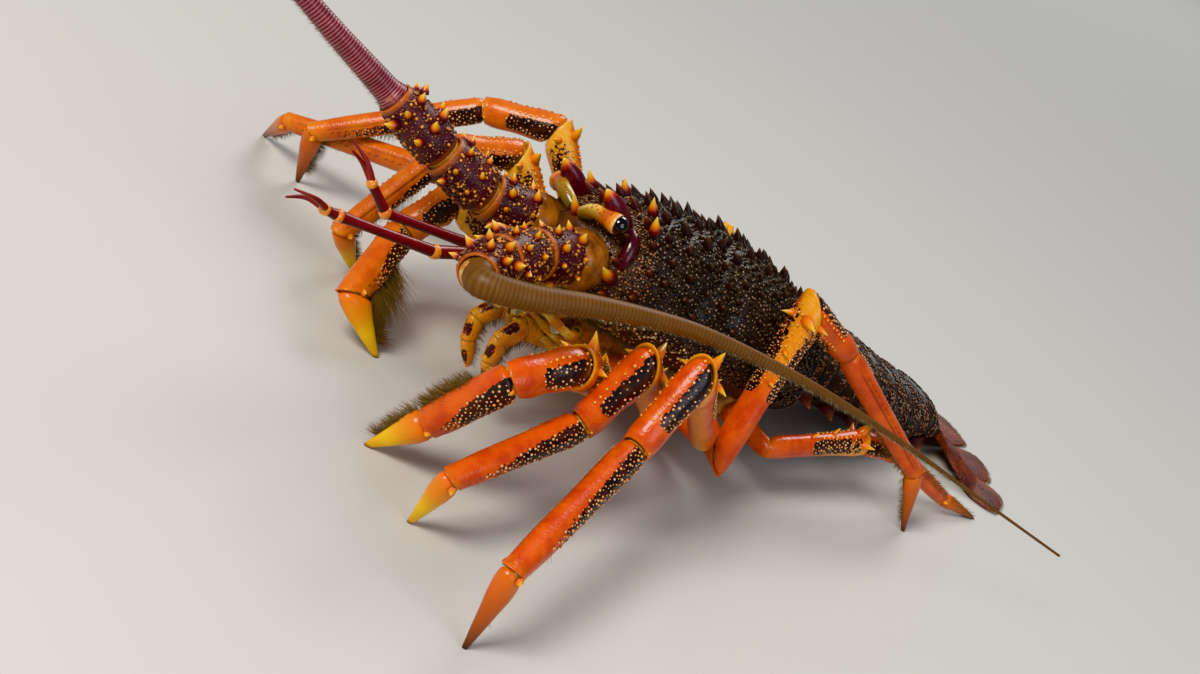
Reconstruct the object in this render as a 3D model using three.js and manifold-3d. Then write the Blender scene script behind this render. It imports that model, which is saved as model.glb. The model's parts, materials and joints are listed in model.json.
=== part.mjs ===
// Red rock lobster, whole and life size, standing on its ten walking legs.
// Millimetres, +Z up. The head points to -Y and the animal's left side is +X.

import * as THREE from 'three';
import { mergeVertices } from 'three/addons/utils/BufferGeometryUtils.js';
import Module from 'manifold-3d';

const wasm = await Module();
wasm.setup();

// Driving sizes of the animal
const CARAPACE_LENGTH = 136;
const CARAPACE_HALF_WIDTH = 42;
const ROSTRUM_HEIGHT = 89;
const BODY_PITCH = 12;
const BODY_ROLL = 12;
const GAP = 0.3;
const SEED = 7;

// Finishes, as colour, roughness and metalness
const FINISH = {
  shell: new THREE.MeshStandardMaterial({ color: 0x4a1f22, roughness: 0.5, metalness: 0 }),
  leg: new THREE.MeshStandardMaterial({ color: 0xd9591a, roughness: 0.45, metalness: 0 }),
  claw: new THREE.MeshStandardMaterial({ color: 0xe09a2a, roughness: 0.45, metalness: 0 }),
  feeler: new THREE.MeshStandardMaterial({ color: 0x6e2a35, roughness: 0.5, metalness: 0 }),
  mouth: new THREE.MeshStandardMaterial({ color: 0xc98a45, roughness: 0.5, metalness: 0 }),
  eye: new THREE.MeshStandardMaterial({ color: 0x0c0a0c, roughness: 0.15, metalness: 0 }),
};

const radians = THREE.MathUtils.degToRad;
const vector = (x, y, z) => new THREE.Vector3(x, y, z);

// The body frame starts at the root of the rostrum: x to the left, y to the rear, z up.
const bodyToWorld = new THREE.Matrix4()
  .makeTranslation(0, 0, ROSTRUM_HEIGHT)
  .multiply(new THREE.Matrix4().makeRotationY(-radians(BODY_ROLL)))
  .multiply(new THREE.Matrix4().makeRotationX(-radians(BODY_PITCH)));

function fromBody(x, y, z) {
  return vector(x, y, z).applyMatrix4(bodyToWorld);
}

function fromBodyDirection(x, y, z) {
  return vector(x, y, z).transformDirection(bodyToWorld);
}

// Repeatable random numbers between 0 and 1
function randomFrom(seed) {
  let state = seed;
  return () => {
    state = (state * 1664525 + 1013904223) % 4294967296;
    return state / 4294967296;
  };
}

// Join and cut

function bare(geometry) {
  const clean = geometry.index ? geometry.toNonIndexed() : geometry.clone();
  clean.deleteAttribute('normal');
  clean.deleteAttribute('uv');
  return mergeVertices(clean, 1e-4);
}

function toSolid(geometry) {
  const clean = bare(geometry);
  return new wasm.Manifold(new wasm.Mesh({
    numProp: 3,
    vertProperties: new Float32Array(clean.attributes.position.array),
    triVerts: new Uint32Array(clean.index.array),
  }));
}

function toGeometry(solid) {
  const mesh = solid.getMesh();
  const geometry = new THREE.BufferGeometry();
  geometry.setAttribute('position', new THREE.BufferAttribute(new Float32Array(mesh.vertProperties), 3));
  geometry.setIndex(new THREE.BufferAttribute(new Uint32Array(mesh.triVerts), 1));
  return geometry;
}

function join(pieces) {
  return pieces.map(toSolid).reduce((whole, piece) => whole.add(piece));
}

function cut(solid, tools) {
  return tools.reduce((rest, tool) => rest.subtract(tool), solid);
}

function largest(solid) {
  const loose = solid.decompose();
  return loose.reduce((best, piece) => (piece.volume() > best.volume() ? piece : best));
}

// A closed skin of rings. ring(row, sine, cosine) gives the point of one row;
// a cap's centre is the ring's own middle.
function loft(rows, sides, ring) {
  const geometry = new THREE.CylinderGeometry(1, 1, 1, sides, rows);
  const place = geometry.attributes.position;
  for (let i = 0; i < place.count; i += 1) {
    const row = Math.round((0.5 - place.getY(i)) * rows);
    const spot = ring(row, place.getX(i), place.getZ(i));
    place.setXYZ(i, spot.x, spot.y, spot.z);
  }
  return geometry;
}

// A tube of oval rings. Each ring has its place, the heading of the tube there,
// half sizes across and along its upright side, and the plane that it lies in.
function tube(rings, sides, up = vector(0, 0, 1)) {
  let across = new THREE.Vector3().crossVectors(up, rings[0].heading).normalize();
  let heading = rings[0].heading;
  const frames = rings.map((ring) => {
    across = across.clone().applyQuaternion(
      new THREE.Quaternion().setFromUnitVectors(heading, ring.heading),
    );
    heading = ring.heading;
    return { ...ring, across, upright: new THREE.Vector3().crossVectors(heading, across) };
  });
  return loft(rings.length - 1, sides, (row, sine, cosine) => {
    const ring = frames[row];
    const offset = ring.across.clone().multiplyScalar(sine * ring.wide)
      .addScaledVector(ring.upright, cosine * ring.deep);
    const slide = offset.dot(ring.plane) / ring.heading.dot(ring.plane);
    return ring.at.clone().add(offset).addScaledVector(ring.heading, -slide);
  });
}

// Rings along one straight length from start to end. The profile lists the share of
// the clear length, the half width and the half depth. The clear length leaves out
// what the slanted ends take.
function straight(start, end, startPlane, endPlane, profile) {
  const heading = end.clone().sub(start).normalize();
  const length = start.distanceTo(end);
  const first = profile[0];
  const last = profile[profile.length - 1];
  const lean = (plane, half) => half * Math.tan(Math.acos(Math.min(1, Math.abs(heading.dot(plane)))));
  const before = lean(startPlane, Math.max(first[1], first[2]));
  const after = lean(endPlane, Math.max(last[1], last[2]));
  return profile.map(([share, wide, deep], index) => {
    let along = before + share * (length - before - after);
    let plane = heading;
    if (index === 0) {
      along = 0;
      plane = startPlane;
    } else if (index === profile.length - 1) {
      along = length;
      plane = endPlane;
    }
    return { at: start.clone().addScaledVector(heading, along), heading, plane, wide, deep };
  });
}

function between(before, after) {
  return before.clone().add(after).normalize();
}

// One spine: a five-sided cone whose root is sunk in what carries it
function spine(root, direction, length, radius, sunk = 1.2) {
  const cone = new THREE.ConeGeometry(radius, length + sunk, 5);
  cone.translate(0, (length + sunk) / 2 - sunk, 0);
  const turn = new THREE.Quaternion().setFromUnitVectors(vector(0, 1, 0), direction.clone().normalize());
  cone.applyQuaternion(turn);
  cone.translate(root.x, root.y, root.z);
  return cone;
}

// A tube through several joints. Each length has its own profile of half sizes.
function jointed(points, profiles, sides, startPlane, endPlane) {
  const headings = profiles.map((_, i) => points[i + 1].clone().sub(points[i]).normalize());
  const planes = points.map((_, i) => {
    if (i === 0) return startPlane || headings[0];
    if (i === points.length - 1) return endPlane || headings[i - 1];
    return between(headings[i - 1], headings[i]);
  });
  const rings = profiles.flatMap((profile, i) => {
    const length = straight(points[i], points[i + 1], planes[i], planes[i + 1], profile);
    return i < profiles.length - 1 ? length.slice(0, -1) : length;
  });
  return tube(rings, sides);
}

// A tapered tube along a smooth curve through the points
function whip(points, from, to, radiusAt, steps, sides) {
  const curve = new THREE.CatmullRomCurve3(points);
  const rings = [];
  for (let i = 0; i <= steps; i += 1) {
    const share = from + ((to - from) * i) / steps;
    const radius = radiusAt(share);
    const heading = curve.getTangentAt(share);
    rings.push({ at: curve.getPointAt(share), heading, plane: heading, wide: radius, deep: radius });
  }
  return tube(rings, sides);
}

// Value at one place of a list of [place, value, value, ...] rows
function rowAt(rows, place) {
  const next = Math.max(1, rows.findIndex((row) => row[0] >= place));
  const after = rows[place > rows[rows.length - 1][0] ? rows.length - 1 : next];
  const before = rows[rows.indexOf(after) - 1];
  const share = THREE.MathUtils.clamp((place - before[0]) / (after[0] - before[0]), 0, 1);
  return before.map((value, i) => value + (after[i] - value) * share);
}

const signedPower = (value, power) => Math.sign(value) * Math.abs(value) ** power;

// Carapace

// Distance behind the rostrum, half width, top and bottom, as shares of the length
// and of the half width
const CARAPACE_ROWS = [
  [-0.01, 0.26, -0.02, -0.50],
  [0.04, 0.55, 0.14, -0.72],
  [0.11, 0.71, 0.26, -0.86],
  [0.22, 0.81, 0.37, -0.91],
  [0.35, 0.88, 0.43, -0.95],
  [0.44, 0.93, 0.44, -1.00],
  [0.48, 0.92, 0.40, -1.01],
  [0.53, 0.97, 0.45, -1.03],
  [0.68, 1.00, 0.43, -1.05],
  [0.82, 0.98, 0.37, -1.05],
  [0.93, 0.93, 0.29, -1.02],
  [0.99, 0.86, 0.21, -0.97],
  [1.00, 0.80, 0.16, -0.92],
].map(([along, half, top, bottom]) => [
  along * CARAPACE_LENGTH,
  half * CARAPACE_HALF_WIDTH,
  top * CARAPACE_HALF_WIDTH,
  bottom * CARAPACE_HALF_WIDTH,
]);
const WIDEST_LEVEL = 0.42;

// A point of the shell, from the sine and cosine of its angle away from the back
function shellPoint([along, half, top, bottom], sine, cosine, grow) {
  const middle = bottom + WIDEST_LEVEL * (top - bottom);
  const reach = cosine > 0 ? top + grow - middle : middle - bottom + grow;
  return fromBody(
    (half + grow) * signedPower(sine, 0.9),
    along,
    middle + reach * signedPower(cosine, cosine > 0 ? 0.92 : 0.6),
  );
}

function carapaceSkin(grow) {
  const last = CARAPACE_ROWS.length - 1;
  return loft(last, 26, (row, sine, cosine) => {
    const [along, half, top, bottom] = CARAPACE_ROWS[row];
    const push = (row === last ? grow : 0) - (row === 0 ? grow : 0);
    const capCentre = sine === 0 && cosine === 0;
    return shellPoint([along + push, half, top, bottom], -sine, cosine, capCentre ? 0 : grow);
  });
}

// Place and outward direction on the shell, by distance behind the rostrum and by angle
function onShell(along, degrees) {
  const angle = radians(degrees);
  const at = (y, a) => shellPoint(rowAt(CARAPACE_ROWS, y), Math.sin(a), Math.cos(a), 0);
  const root = at(along, angle);
  const back = at(along + 1, angle).sub(root);
  const side = at(along, angle + 0.03).sub(root);
  return { root, out: side.cross(back).normalize() };
}

const FORWARD = fromBodyDirection(0, -1, 0);

// Spines of the back stand in staggered rows, longer in front and near the midline.
const SPINE_ROWS = 12;
const SPINE_FIRST_ROW = 10;
const SPINE_ROW_STEP = 10;
const SPINE_SPACING = 11.2;
const SPINE_LOWEST_ANGLE = 98;
const SPINE_MIDDLE_BAND = 34;
const SPINE_MIDDLE_GAIN = 1.25;
const SPINE_LENGTH_FRONT = 4.6;
const SPINE_LENGTH_LOSS = 1.6;
const SPINE_LENGTH_SPREAD = 1.2;
const SPINE_STOUTNESS = 0.42;

function shellSpines() {
  const random = randomFrom(SEED);
  const jitter = (size) => (random() - 0.5) * size;
  const spines = [];
  for (let row = 0; row < SPINE_ROWS; row += 1) {
    const along = SPINE_FIRST_ROW + row * SPINE_ROW_STEP;
    const step = THREE.MathUtils.radToDeg(SPINE_SPACING / rowAt(CARAPACE_ROWS, along)[1]);
    const count = Math.floor(SPINE_LOWEST_ANGLE / step);
    const stagger = (row % 2) * 0.5;
    for (let k = -count; k <= count; k += 1) {
      const degrees = (k + stagger) * step + jitter(4);
      const place = along + jitter(3);
      const { root, out } = onShell(place, degrees);
      const gain = Math.abs(degrees) < SPINE_MIDDLE_BAND ? SPINE_MIDDLE_GAIN : 1;
      const length = gain * (SPINE_LENGTH_FRONT - SPINE_LENGTH_LOSS * (place / CARAPACE_LENGTH)
        + SPINE_LENGTH_SPREAD * random());
      const lean = out.multiplyScalar(0.8).addScaledVector(FORWARD, 0.6);
      spines.push(spine(root, lean, length, length * SPINE_STOUTNESS));
    }
  }
  return spines;
}

// The two horns over the eyes, and the small spine between them
const HORN_PATH = [[15, 14, -1], [15.5, 8, 5], [16, 0, 11], [16, -7, 15.5]];
const HORN_RADII = [5.6, 4.6, 2.9, 0.5];

const HORN_FLATNESS = 0.75;

// The smooth rim that runs from a horn's root down behind the eye
const RIM_PATH = [[19, 12.5, 4], [23, 12, 0.5], [25.5, 11, -5]];
const RIM_RADII = [3.2, 3, 2];

function curved(side, path, radii, flatness) {
  const points = path.map(([x, y, z]) => fromBody(side * x, y, z));
  const curve = new THREE.CatmullRomCurve3(points);
  const rings = radii.map((radius, i) => {
    const share = i / (radii.length - 1);
    const heading = curve.getTangentAt(share);
    return { at: curve.getPointAt(share), heading, plane: heading, wide: radius * flatness, deep: radius };
  });
  return tube(rings, 8);
}

const horn = (side) => curved(side, HORN_PATH, HORN_RADII, HORN_FLATNESS);
const eyeRim = (side) => curved(side, RIM_PATH, RIM_RADII, 1);

// Long spines of the front edge: body place, direction, length and radius
const FRONT_SPINES = [
  [[0, 1, -1], [0, -0.8, 0.6], 9, 2.4],
  [[26, 9, -14], [0.35, -0.9, 0.2], 9, 3],
  [[23, 20, 9], [0.25, -0.7, 0.65], 7, 2.6],
  [[10, 26, 14], [0.1, -0.7, 0.7], 6.5, 2.4],
];

function frontSpines() {
  return FRONT_SPINES.flatMap(([place, way, length, radius]) => {
    const sides = place[0] === 0 ? [1] : [1, -1];
    return sides.map((side) => spine(
      fromBody(side * place[0], place[1], place[2]),
      fromBodyDirection(side * way[0], way[1], way[2]),
      length,
      radius,
      2,
    ));
  });
}

// Eyes

const EYE_PLACE = [22, 2, 5.5];
const EYE_RADIUS = 4.5;
const STALK_ROOT = [6.5, 1, 0.5];
const STALK_RADIUS = 3.5;

function eye(side, grow) {
  const centre = fromBody(side * EYE_PLACE[0], EYE_PLACE[1], EYE_PLACE[2]);
  const root = fromBody(side * STALK_ROOT[0], STALK_ROOT[1], STALK_ROOT[2]);
  const ball = new THREE.SphereGeometry(EYE_RADIUS + grow, 14, 10);
  ball.translate(centre.x, centre.y, centre.z);
  const half = STALK_RADIUS + grow;
  const stalk = jointed([root, centre], [[[0, half, half], [1, half, half]]], 10);
  return join([ball, stalk]);
}

// Underside: breast plate and mouth frame

const UNDERSIDE_ROWS = [
  [4, 10, -14, -30],
  [14, 11, -14, -44],
  [30, 11, -20, -50],
  [50, 14, -24, -54],
  [64, 18, -28, -56],
  [80, 23, -30, -57],
  [97, 27, -30, -57],
  [114, 29, -30, -54],
  [128, 25, -30, -48],
];

function undersideSkin(grow) {
  const last = UNDERSIDE_ROWS.length - 1;
  return loft(last, 16, (row, sine, cosine) => {
    const [along, half, top, bottom] = UNDERSIDE_ROWS[row];
    const middle = (top + bottom) / 2;
    const edge = sine === 0 && cosine === 0 ? 0 : grow;
    const push = (row === last ? grow : 0) - (row === 0 ? grow : 0);
    return fromBody(
      -(half + edge) * signedPower(sine, 0.7),
      along + push,
      middle + (top - middle + edge) * signedPower(cosine, 0.7),
    );
  });
}

const carapaceGrown = toSolid(carapaceSkin(GAP));
const undersideGrown = toSolid(undersideSkin(GAP));

// Feelers

// Joints of the two stout antenna stems, in the body frame
const STEM_JOINTS = {
  left: [[15, 2, -13], [22, -27, -18], [32, -48, -23], [46, -64, -28]],
  right: [[-15, 2, -13], [-22, -27, -12], [-28, -50, -5], [-36, -76, 5]],
};
const STEM_PROFILES = [
  [[0, 9.5, 10], [0.4, 10.5, 10.5], [1, 10, 9.5]],
  [[0, 10, 9.5], [0.15, 10.5, 10], [0.8, 10, 9.6], [1, 9, 8.6]],
  [[0, 9, 8.6], [0.15, 9.8, 9.2], [0.75, 9, 8.4], [1, 7.4, 7]],
];

const WHIP_POINTS = {
  left: [
    [54, -67, -28], [62, -54, -25], [67.5, -31, -18.2], [71, -7, -13.5], [75, 17, -10.3],
    [87, 64.7, -9.5], [98, 120, -14], [110, 180, -22], [126, 240, -30],
  ],
  right: [[-43, -103, 15], [-50, -130, 25], [-66, -190, 38], [-90, -255, 45], [-122, -320, 42]],
};
const WHIP_BASE_RADIUS = 5.6;
const WHIP_TIP_RADIUS = 0.6;
const WHIP_TAPER = 2;

function whipRadius(share) {
  return WHIP_TIP_RADIUS + (WHIP_BASE_RADIUS - WHIP_TIP_RADIUS) * (1 - share) ** WHIP_TAPER;
}

function stemPoints(name) {
  return STEM_JOINTS[name].map(([x, y, z]) => fromBody(x, y, z));
}

// Spines in rings round each length of a stem, over its back and its sides
const STEM_SPINE_RINGS = [0.4, 0.78];
const STEM_SPINE_COUNT = 6;
const STEM_SPINE_STEP = 42;
const STEM_SPINE_FIRST_ANGLE = -110;
const STEM_SPINE_LENGTH = 4;
const STEM_SPINE_LENGTH_SPREAD = 3;
const STEM_SPINE_STOUTNESS = 0.36;

function stemSpines(points) {
  const random = randomFrom(SEED + 1);
  const spines = [];
  for (let length = 0; length < STEM_PROFILES.length; length += 1) {
    const start = points[length];
    const heading = points[length + 1].clone().sub(start).normalize();
    const reach = start.distanceTo(points[length + 1]);
    const across = new THREE.Vector3().crossVectors(vector(0, 0, 1), heading).normalize();
    const upright = new THREE.Vector3().crossVectors(heading, across);
    const half = rowAt(STEM_PROFILES[length], 0.5)[1];
    STEM_SPINE_RINGS.forEach((share, ringIndex) => {
      for (let k = 0; k < STEM_SPINE_COUNT; k += 1) {
        const turn = STEM_SPINE_FIRST_ANGLE + (k + ringIndex * 0.5) * STEM_SPINE_STEP;
        const angle = radians(turn + (random() - 0.5) * 10);
        const out = across.clone().multiplyScalar(Math.sin(angle))
          .addScaledVector(upright, Math.cos(angle));
        const root = start.clone().addScaledVector(heading, reach * share)
          .addScaledVector(out, half * 0.95);
        const long = STEM_SPINE_LENGTH + STEM_SPINE_LENGTH_SPREAD * random();
        const lean = out.clone().addScaledVector(heading, 0.7);
        spines.push(spine(root, lean, long, long * STEM_SPINE_STOUTNESS, 1.6));
      }
    });
  }
  return spines;
}

function grown(profiles) {
  return profiles.map((profile) => profile.map(([share, wide, deep]) => [share, wide + GAP, deep + GAP]));
}

function stem(name) {
  const points = stemPoints(name);
  const solid = join([jointed(points, STEM_PROFILES, 12), ...stemSpines(points)]);
  return cut(solid, [carapaceGrown, undersideGrown]);
}

function stemGrown(name) {
  const points = stemPoints(name);
  const heading = points[3].clone().sub(points[2]).normalize();
  points[3].addScaledVector(heading, GAP);
  return toSolid(jointed(points, grown(STEM_PROFILES), 12));
}

function whipLength(name, from, to, steps) {
  const points = stemPoints(name);
  const path = [points[3], ...WHIP_POINTS[name].map(([x, y, z]) => fromBody(x, y, z))];
  return cut(toSolid(whip(path, from, to, whipRadius, steps, 8)), [stemGrown(name)]);
}

// The small feelers: joints of the stalk, then two short threads
const ANTENNULE_JOINTS = {
  left: [[3, 6, -17], [5, -54.5, -35], [5, -98, -36], [6, -104.5, -35.5]],
  right: [[-3, 6, -17], [-5, -29, -29], [-8, -73, -31.2], [-9, -83.3, -23.5]],
};
const THREAD_TIPS = {
  left: [[10, -121, -32], [4, -119, -37]],
  right: [[-14, -97, -12], [-8, -98, -15]],
};

function antennule(name) {
  const points = ANTENNULE_JOINTS[name].map(([x, y, z]) => fromBody(x, y, z));
  const stalk = jointed(points, [
    [[0, 1.9, 2.2], [0.4, 2.2, 2.4], [1, 2.6, 2.6]],
    [[0, 2.4, 2.4], [0.9, 2.1, 2.1], [1, 2.3, 2.3]],
    [[0, 2.2, 2.2], [0.9, 1.9, 1.9], [1, 2.0, 2.0]],
  ], 8);
  const end = points[3];
  const back = points[2].clone().sub(end).normalize();
  const threads = THREAD_TIPS[name].map(([x, y, z], i) => {
    const tip = fromBody(x, y, z);
    const root = end.clone().addScaledVector(back, 1.5);
    const middle = root.clone().lerp(tip, 0.5).add(fromBodyDirection(i ? -2 : 2, 0, 1.5));
    return whip([root, middle, tip], 0, 1, (share) => 1.5 - 1.1 * share, 4, 6);
  });
  return cut(join([stalk, ...threads]), [carapaceGrown, undersideGrown, stemGrown(name)]);
}

// Outer jaw legs
const JAW_LEG_JOINTS = [[8, 26, -48], [10, -3, -49], [10, -10, -57], [9, -9, -66], [8, -3, -77]];
const JAW_LEG_PROFILES = [
  [[0, 4.6, 5.4], [0.5, 4.8, 5.6], [1, 4.2, 4.8]],
  [[0, 4.2, 4.8], [1, 3.8, 4.2]],
  [[0, 3.8, 4.2], [1, 3.2, 3.6]],
  [[0, 3.2, 3.6], [0.6, 2.4, 2.8], [1, 0.8, 0.9]],
];

function jawLeg(side) {
  const points = JAW_LEG_JOINTS.map(([x, y, z]) => fromBody(side * x, y, z));
  return cut(toSolid(jointed(points, JAW_LEG_PROFILES, 8)), [carapaceGrown, undersideGrown]);
}

// Walking legs

// Roots under the breast plate, lengths of hip, merus, carpus, propodus and dactyl,
// and half the depth of the merus
const LEG_PAIRS = [
  { root: [11, 50, -50], lengths: [26, 59, 28, 40, 28], half: 8.0 },
  { root: [15, 64, -52], lengths: [28, 67, 31, 58, 29], half: 7.3 },
  { root: [19, 78, -52], lengths: [30, 77, 35, 78, 33], half: 7.2 },
  { root: [23, 93, -50], lengths: [29, 72, 34, 80, 34], half: 6.8 },
  { root: [26, 107, -46], lengths: [25, 58, 28, 51, 26], half: 5.8 },
];

// Heading away from straight ahead and lift over the floor of the first four lengths,
// and the heading of the dactyl, which always reaches down to the floor
const LEG_POSES = {
  left: [
    [[52, 7], [27, 28], [7, -13], [-57, -61], [-47]],
    [[73, 6], [25, 38], [0, -67], [13, -17], [-85]],
    [[89, 6], [26, 40], [25, -54], [32, -14], [35]],
    [[84, -8], [222, 71], [170, -27], [158, -34], [151]],
    [[114, -6], [179, 7], [176, -8], [172, -25], [165]],
  ],
  right: [
    [[53, 7], [34, 29], [6, -53], [-44, -26], [-140]],
    [[68, 15], [54, 41], [3, -7], [-3, -55], [165]],
    [[82, 18], [62, 46], [44, -15], [28, -34], [130]],
    [[98, 9], [40, 17], [23, 1], [52, -15], [99]],
    [[128, 7], [138, 40], [138, -30], [139, -36], [140]],
  ],
};

const LEG_PROFILES = {
  hip: [[0, 0.78, 0.95], [0.3, 0.76, 0.9], [0.7, 0.74, 0.82], [1, 0.7, 0.76]],
  merus: [
    [0, 0.7, 0.76], [0.06, 0.78, 0.86], [0.4, 0.78, 0.92],
    [0.75, 0.86, 1], [0.94, 0.98, 1.08], [1, 0.9, 0.98],
  ],
  carpus: [[0, 0.9, 0.98], [0.14, 0.95, 1.02], [0.55, 0.85, 0.92], [0.9, 0.86, 0.92], [1, 0.76, 0.8]],
  propodus: [[0, 0.76, 0.8], [0.08, 0.8, 0.84], [0.45, 0.76, 0.78], [0.85, 0.7, 0.72], [1, 0.6, 0.64]],
  dactyl: [[0, 0.56, 0.6], [0.12, 0.6, 0.64], [0.5, 0.42, 0.46], [0.85, 0.22, 0.25], [1, 0.14, 0.14]],
};

function scaled(profile, half) {
  return profile.map(([share, wide, deep]) => [share, wide * half, deep * half]);
}

function legPoints(side, pair, pose) {
  const [x, y, z] = pair.root;
  const points = [fromBody(side * x, y, z)];
  pose.forEach(([heading, lift], i) => {
    const last = points[points.length - 1];
    const length = pair.lengths[i];
    const rise = i < pose.length - 1 ? Math.sin(radians(lift)) : -last.z / length;
    const run = Math.sqrt(Math.max(0, 1 - rise * rise));
    const turn = radians(heading);
    points.push(last.clone().add(vector(
      side * run * Math.sin(turn) * length,
      -run * Math.cos(turn) * length,
      rise * length,
    )));
  });
  return points;
}

function legSpines(points, half) {
  const [, hipEnd, knee, wrist] = points;
  const merus = knee.clone().sub(hipEnd).normalize();
  const carpus = wrist.clone().sub(knee).normalize();
  const across = new THREE.Vector3().crossVectors(vector(0, 0, 1), merus).normalize();
  const upright = new THREE.Vector3().crossVectors(merus, across);
  const sites = [
    [knee, merus, -4.5, 0, 8],
    [knee, merus, -4.5, 62, 5],
    [knee, merus, -4.5, -62, 5],
    [knee, merus, -20, 8, 3.6],
    [knee, merus, -34, -8, 3.2],
  ];
  return sites.map(([joint, heading, along, degrees, length]) => {
    const angle = radians(degrees);
    const out = across.clone().multiplyScalar(Math.sin(angle))
      .addScaledVector(upright, Math.cos(angle));
    const root = joint.clone().addScaledVector(heading, along).addScaledVector(out, half * 0.9);
    return spine(root, out.clone().addScaledVector(carpus, 0.5), length, length * 0.34, 1.5);
  });
}

function leg(side, pair, pose) {
  const points = legPoints(side, pair, pose);
  const heading = (i) => points[i + 1].clone().sub(points[i]).normalize();
  const knee = between(heading(1), heading(2));
  const ankle = between(heading(3), heading(4));
  const floor = vector(0, 0, -1);
  const upper = jointed(
    points.slice(0, 3),
    [scaled(LEG_PROFILES.hip, pair.half), scaled(LEG_PROFILES.merus, pair.half)],
    10,
    null,
    knee,
  );
  const kneeStart = points[2].clone().addScaledVector(knee, GAP);
  const lower = jointed(
    [kneeStart, points[3], points[4]],
    [scaled(LEG_PROFILES.carpus, pair.half), scaled(LEG_PROFILES.propodus, pair.half)],
    10,
    knee,
    ankle,
  );
  const ankleStart = points[4].clone().addScaledVector(ankle, GAP);
  const foot = jointed(
    [ankleStart, points[5]],
    [scaled(LEG_PROFILES.dactyl, pair.half)],
    8,
    ankle,
    floor,
  );
  return {
    upper: cut(join([upper, ...legSpines(points, pair.half)]), [carapaceGrown, undersideGrown]),
    lower: toSolid(lower),
    foot: toSolid(foot),
  };
}

// Abdomen: six ringed segments from the rear of the carapace down to the floor

// Length, slope below level, roll, half width, height over and under the middle line
const ABDOMEN = [
  [18, 11.5, 12, 33, 20, 18],
  [25, 15, 10, 33, 20, 18],
  [25, 18, 8, 32, 19, 16],
  [24, 17.5, 6, 30, 17.5, 14],
  [23, 13, 4, 27, 15.5, 11.5],
  [26, 6, 2, 24, 12.5, 9],
];
const ABDOMEN_START = fromBody(0, CARAPACE_LENGTH - 2, -14);
// Share of the length, width and height; the last segment falls away to the tail fan
const SEGMENT_ROWS = [[0, 0.93, 0.93], [0.18, 1, 1], [0.8, 1.02, 1.02], [1, 0.99, 0.99]];
const LAST_SEGMENT_ROWS = [
  [0, 0.93, 0.93], [0.18, 1, 1], [0.64, 1.01, 1], [0.86, 0.98, 0.8], [1, 0.93, 0.5],
];

function abdomenFrames() {
  const frames = [];
  let at = ABDOMEN_START;
  ABDOMEN.forEach(([length, slope, roll, wide, over, under]) => {
    const heading = vector(0, Math.cos(radians(slope)), -Math.sin(radians(slope)));
    const upright = vector(-Math.sin(radians(roll)), 0, Math.cos(radians(roll)));
    const across = new THREE.Vector3().crossVectors(heading, upright).normalize();
    upright.crossVectors(across, heading);
    const end = at.clone().addScaledVector(heading, length);
    frames.push({ at, end, heading, across, upright, length, wide, over, under });
    at = end;
  });
  return frames;
}

function abdomenSegment(frames, index) {
  const frame = frames[index];
  const next = frames[index + 1];
  const before = frames[index - 1];
  const startPlane = before ? between(before.heading, frame.heading) : frame.heading;
  const endPlane = next ? between(frame.heading, next.heading) : frame.heading;
  const rows = next ? SEGMENT_ROWS : LAST_SEGMENT_ROWS;
  const shell = loft(rows.length - 1, 22, (row, sine, cosine) => {
    const [share, width, height] = rows[row];
    const tall = (cosine > 0 ? frame.over : frame.under) * height;
    const offset = frame.across.clone().multiplyScalar(-frame.wide * width * signedPower(sine, 0.85))
      .addScaledVector(frame.upright, tall * signedPower(cosine, cosine > 0 ? 0.9 : 0.55));
    const gap = row === 0 && before ? GAP : 0;
    const plane = row === 0 ? startPlane : endPlane;
    const slanted = row === 0 || row === rows.length - 1;
    const slide = slanted ? offset.dot(plane) / frame.heading.dot(plane) : 0;
    return frame.at.clone().add(offset)
      .addScaledVector(frame.heading, share * frame.length + gap - slide);
  });
  const lobes = [1, -1].map((side) => spine(
    frame.at.clone().addScaledVector(frame.heading, frame.length * 0.52)
      .addScaledVector(frame.across, side * frame.wide * 0.86)
      .addScaledVector(frame.upright, -frame.under * 0.62),
    frame.across.clone().multiplyScalar(side * 0.5).addScaledVector(frame.upright, -0.8)
      .addScaledVector(frame.heading, 0.35),
    7.5,
    5,
    3,
  ));
  const solid = join([shell, ...lobes]);
  return index === 0 ? cut(solid, [carapaceGrown, undersideGrown]) : solid;
}

// Tail fan: the middle plate and two plates on each side
const FAN = [
  { name: 'telson', across: 0, fan: 0, root: 7, wide: 14.5, length: 49 },
  { name: 'uropod_inner_left', across: 12.5, fan: 26, root: 4, wide: 12.8, length: 49 },
  { name: 'uropod_inner_right', across: -12.5, fan: -26, root: 4, wide: 12.8, length: 49 },
  { name: 'uropod_outer_left', across: 22.5, fan: 54, root: 3, wide: 13, length: 48 },
  { name: 'uropod_outer_right', across: -22.5, fan: -54, root: 3, wide: 13, length: 48 },
];
// Share of the length, share of the widening, and half the thickness
const FAN_ROWS = [
  [0, 0, 2.6], [0.14, 0.2, 2.4], [0.4, 0.62, 1.8], [0.72, 1, 1.4], [0.88, 0.94, 1.2], [0.96, 0.66, 1],
  [1, 0.1, 0.8],
];
const FAN_LANDING = 0.7;

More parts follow.
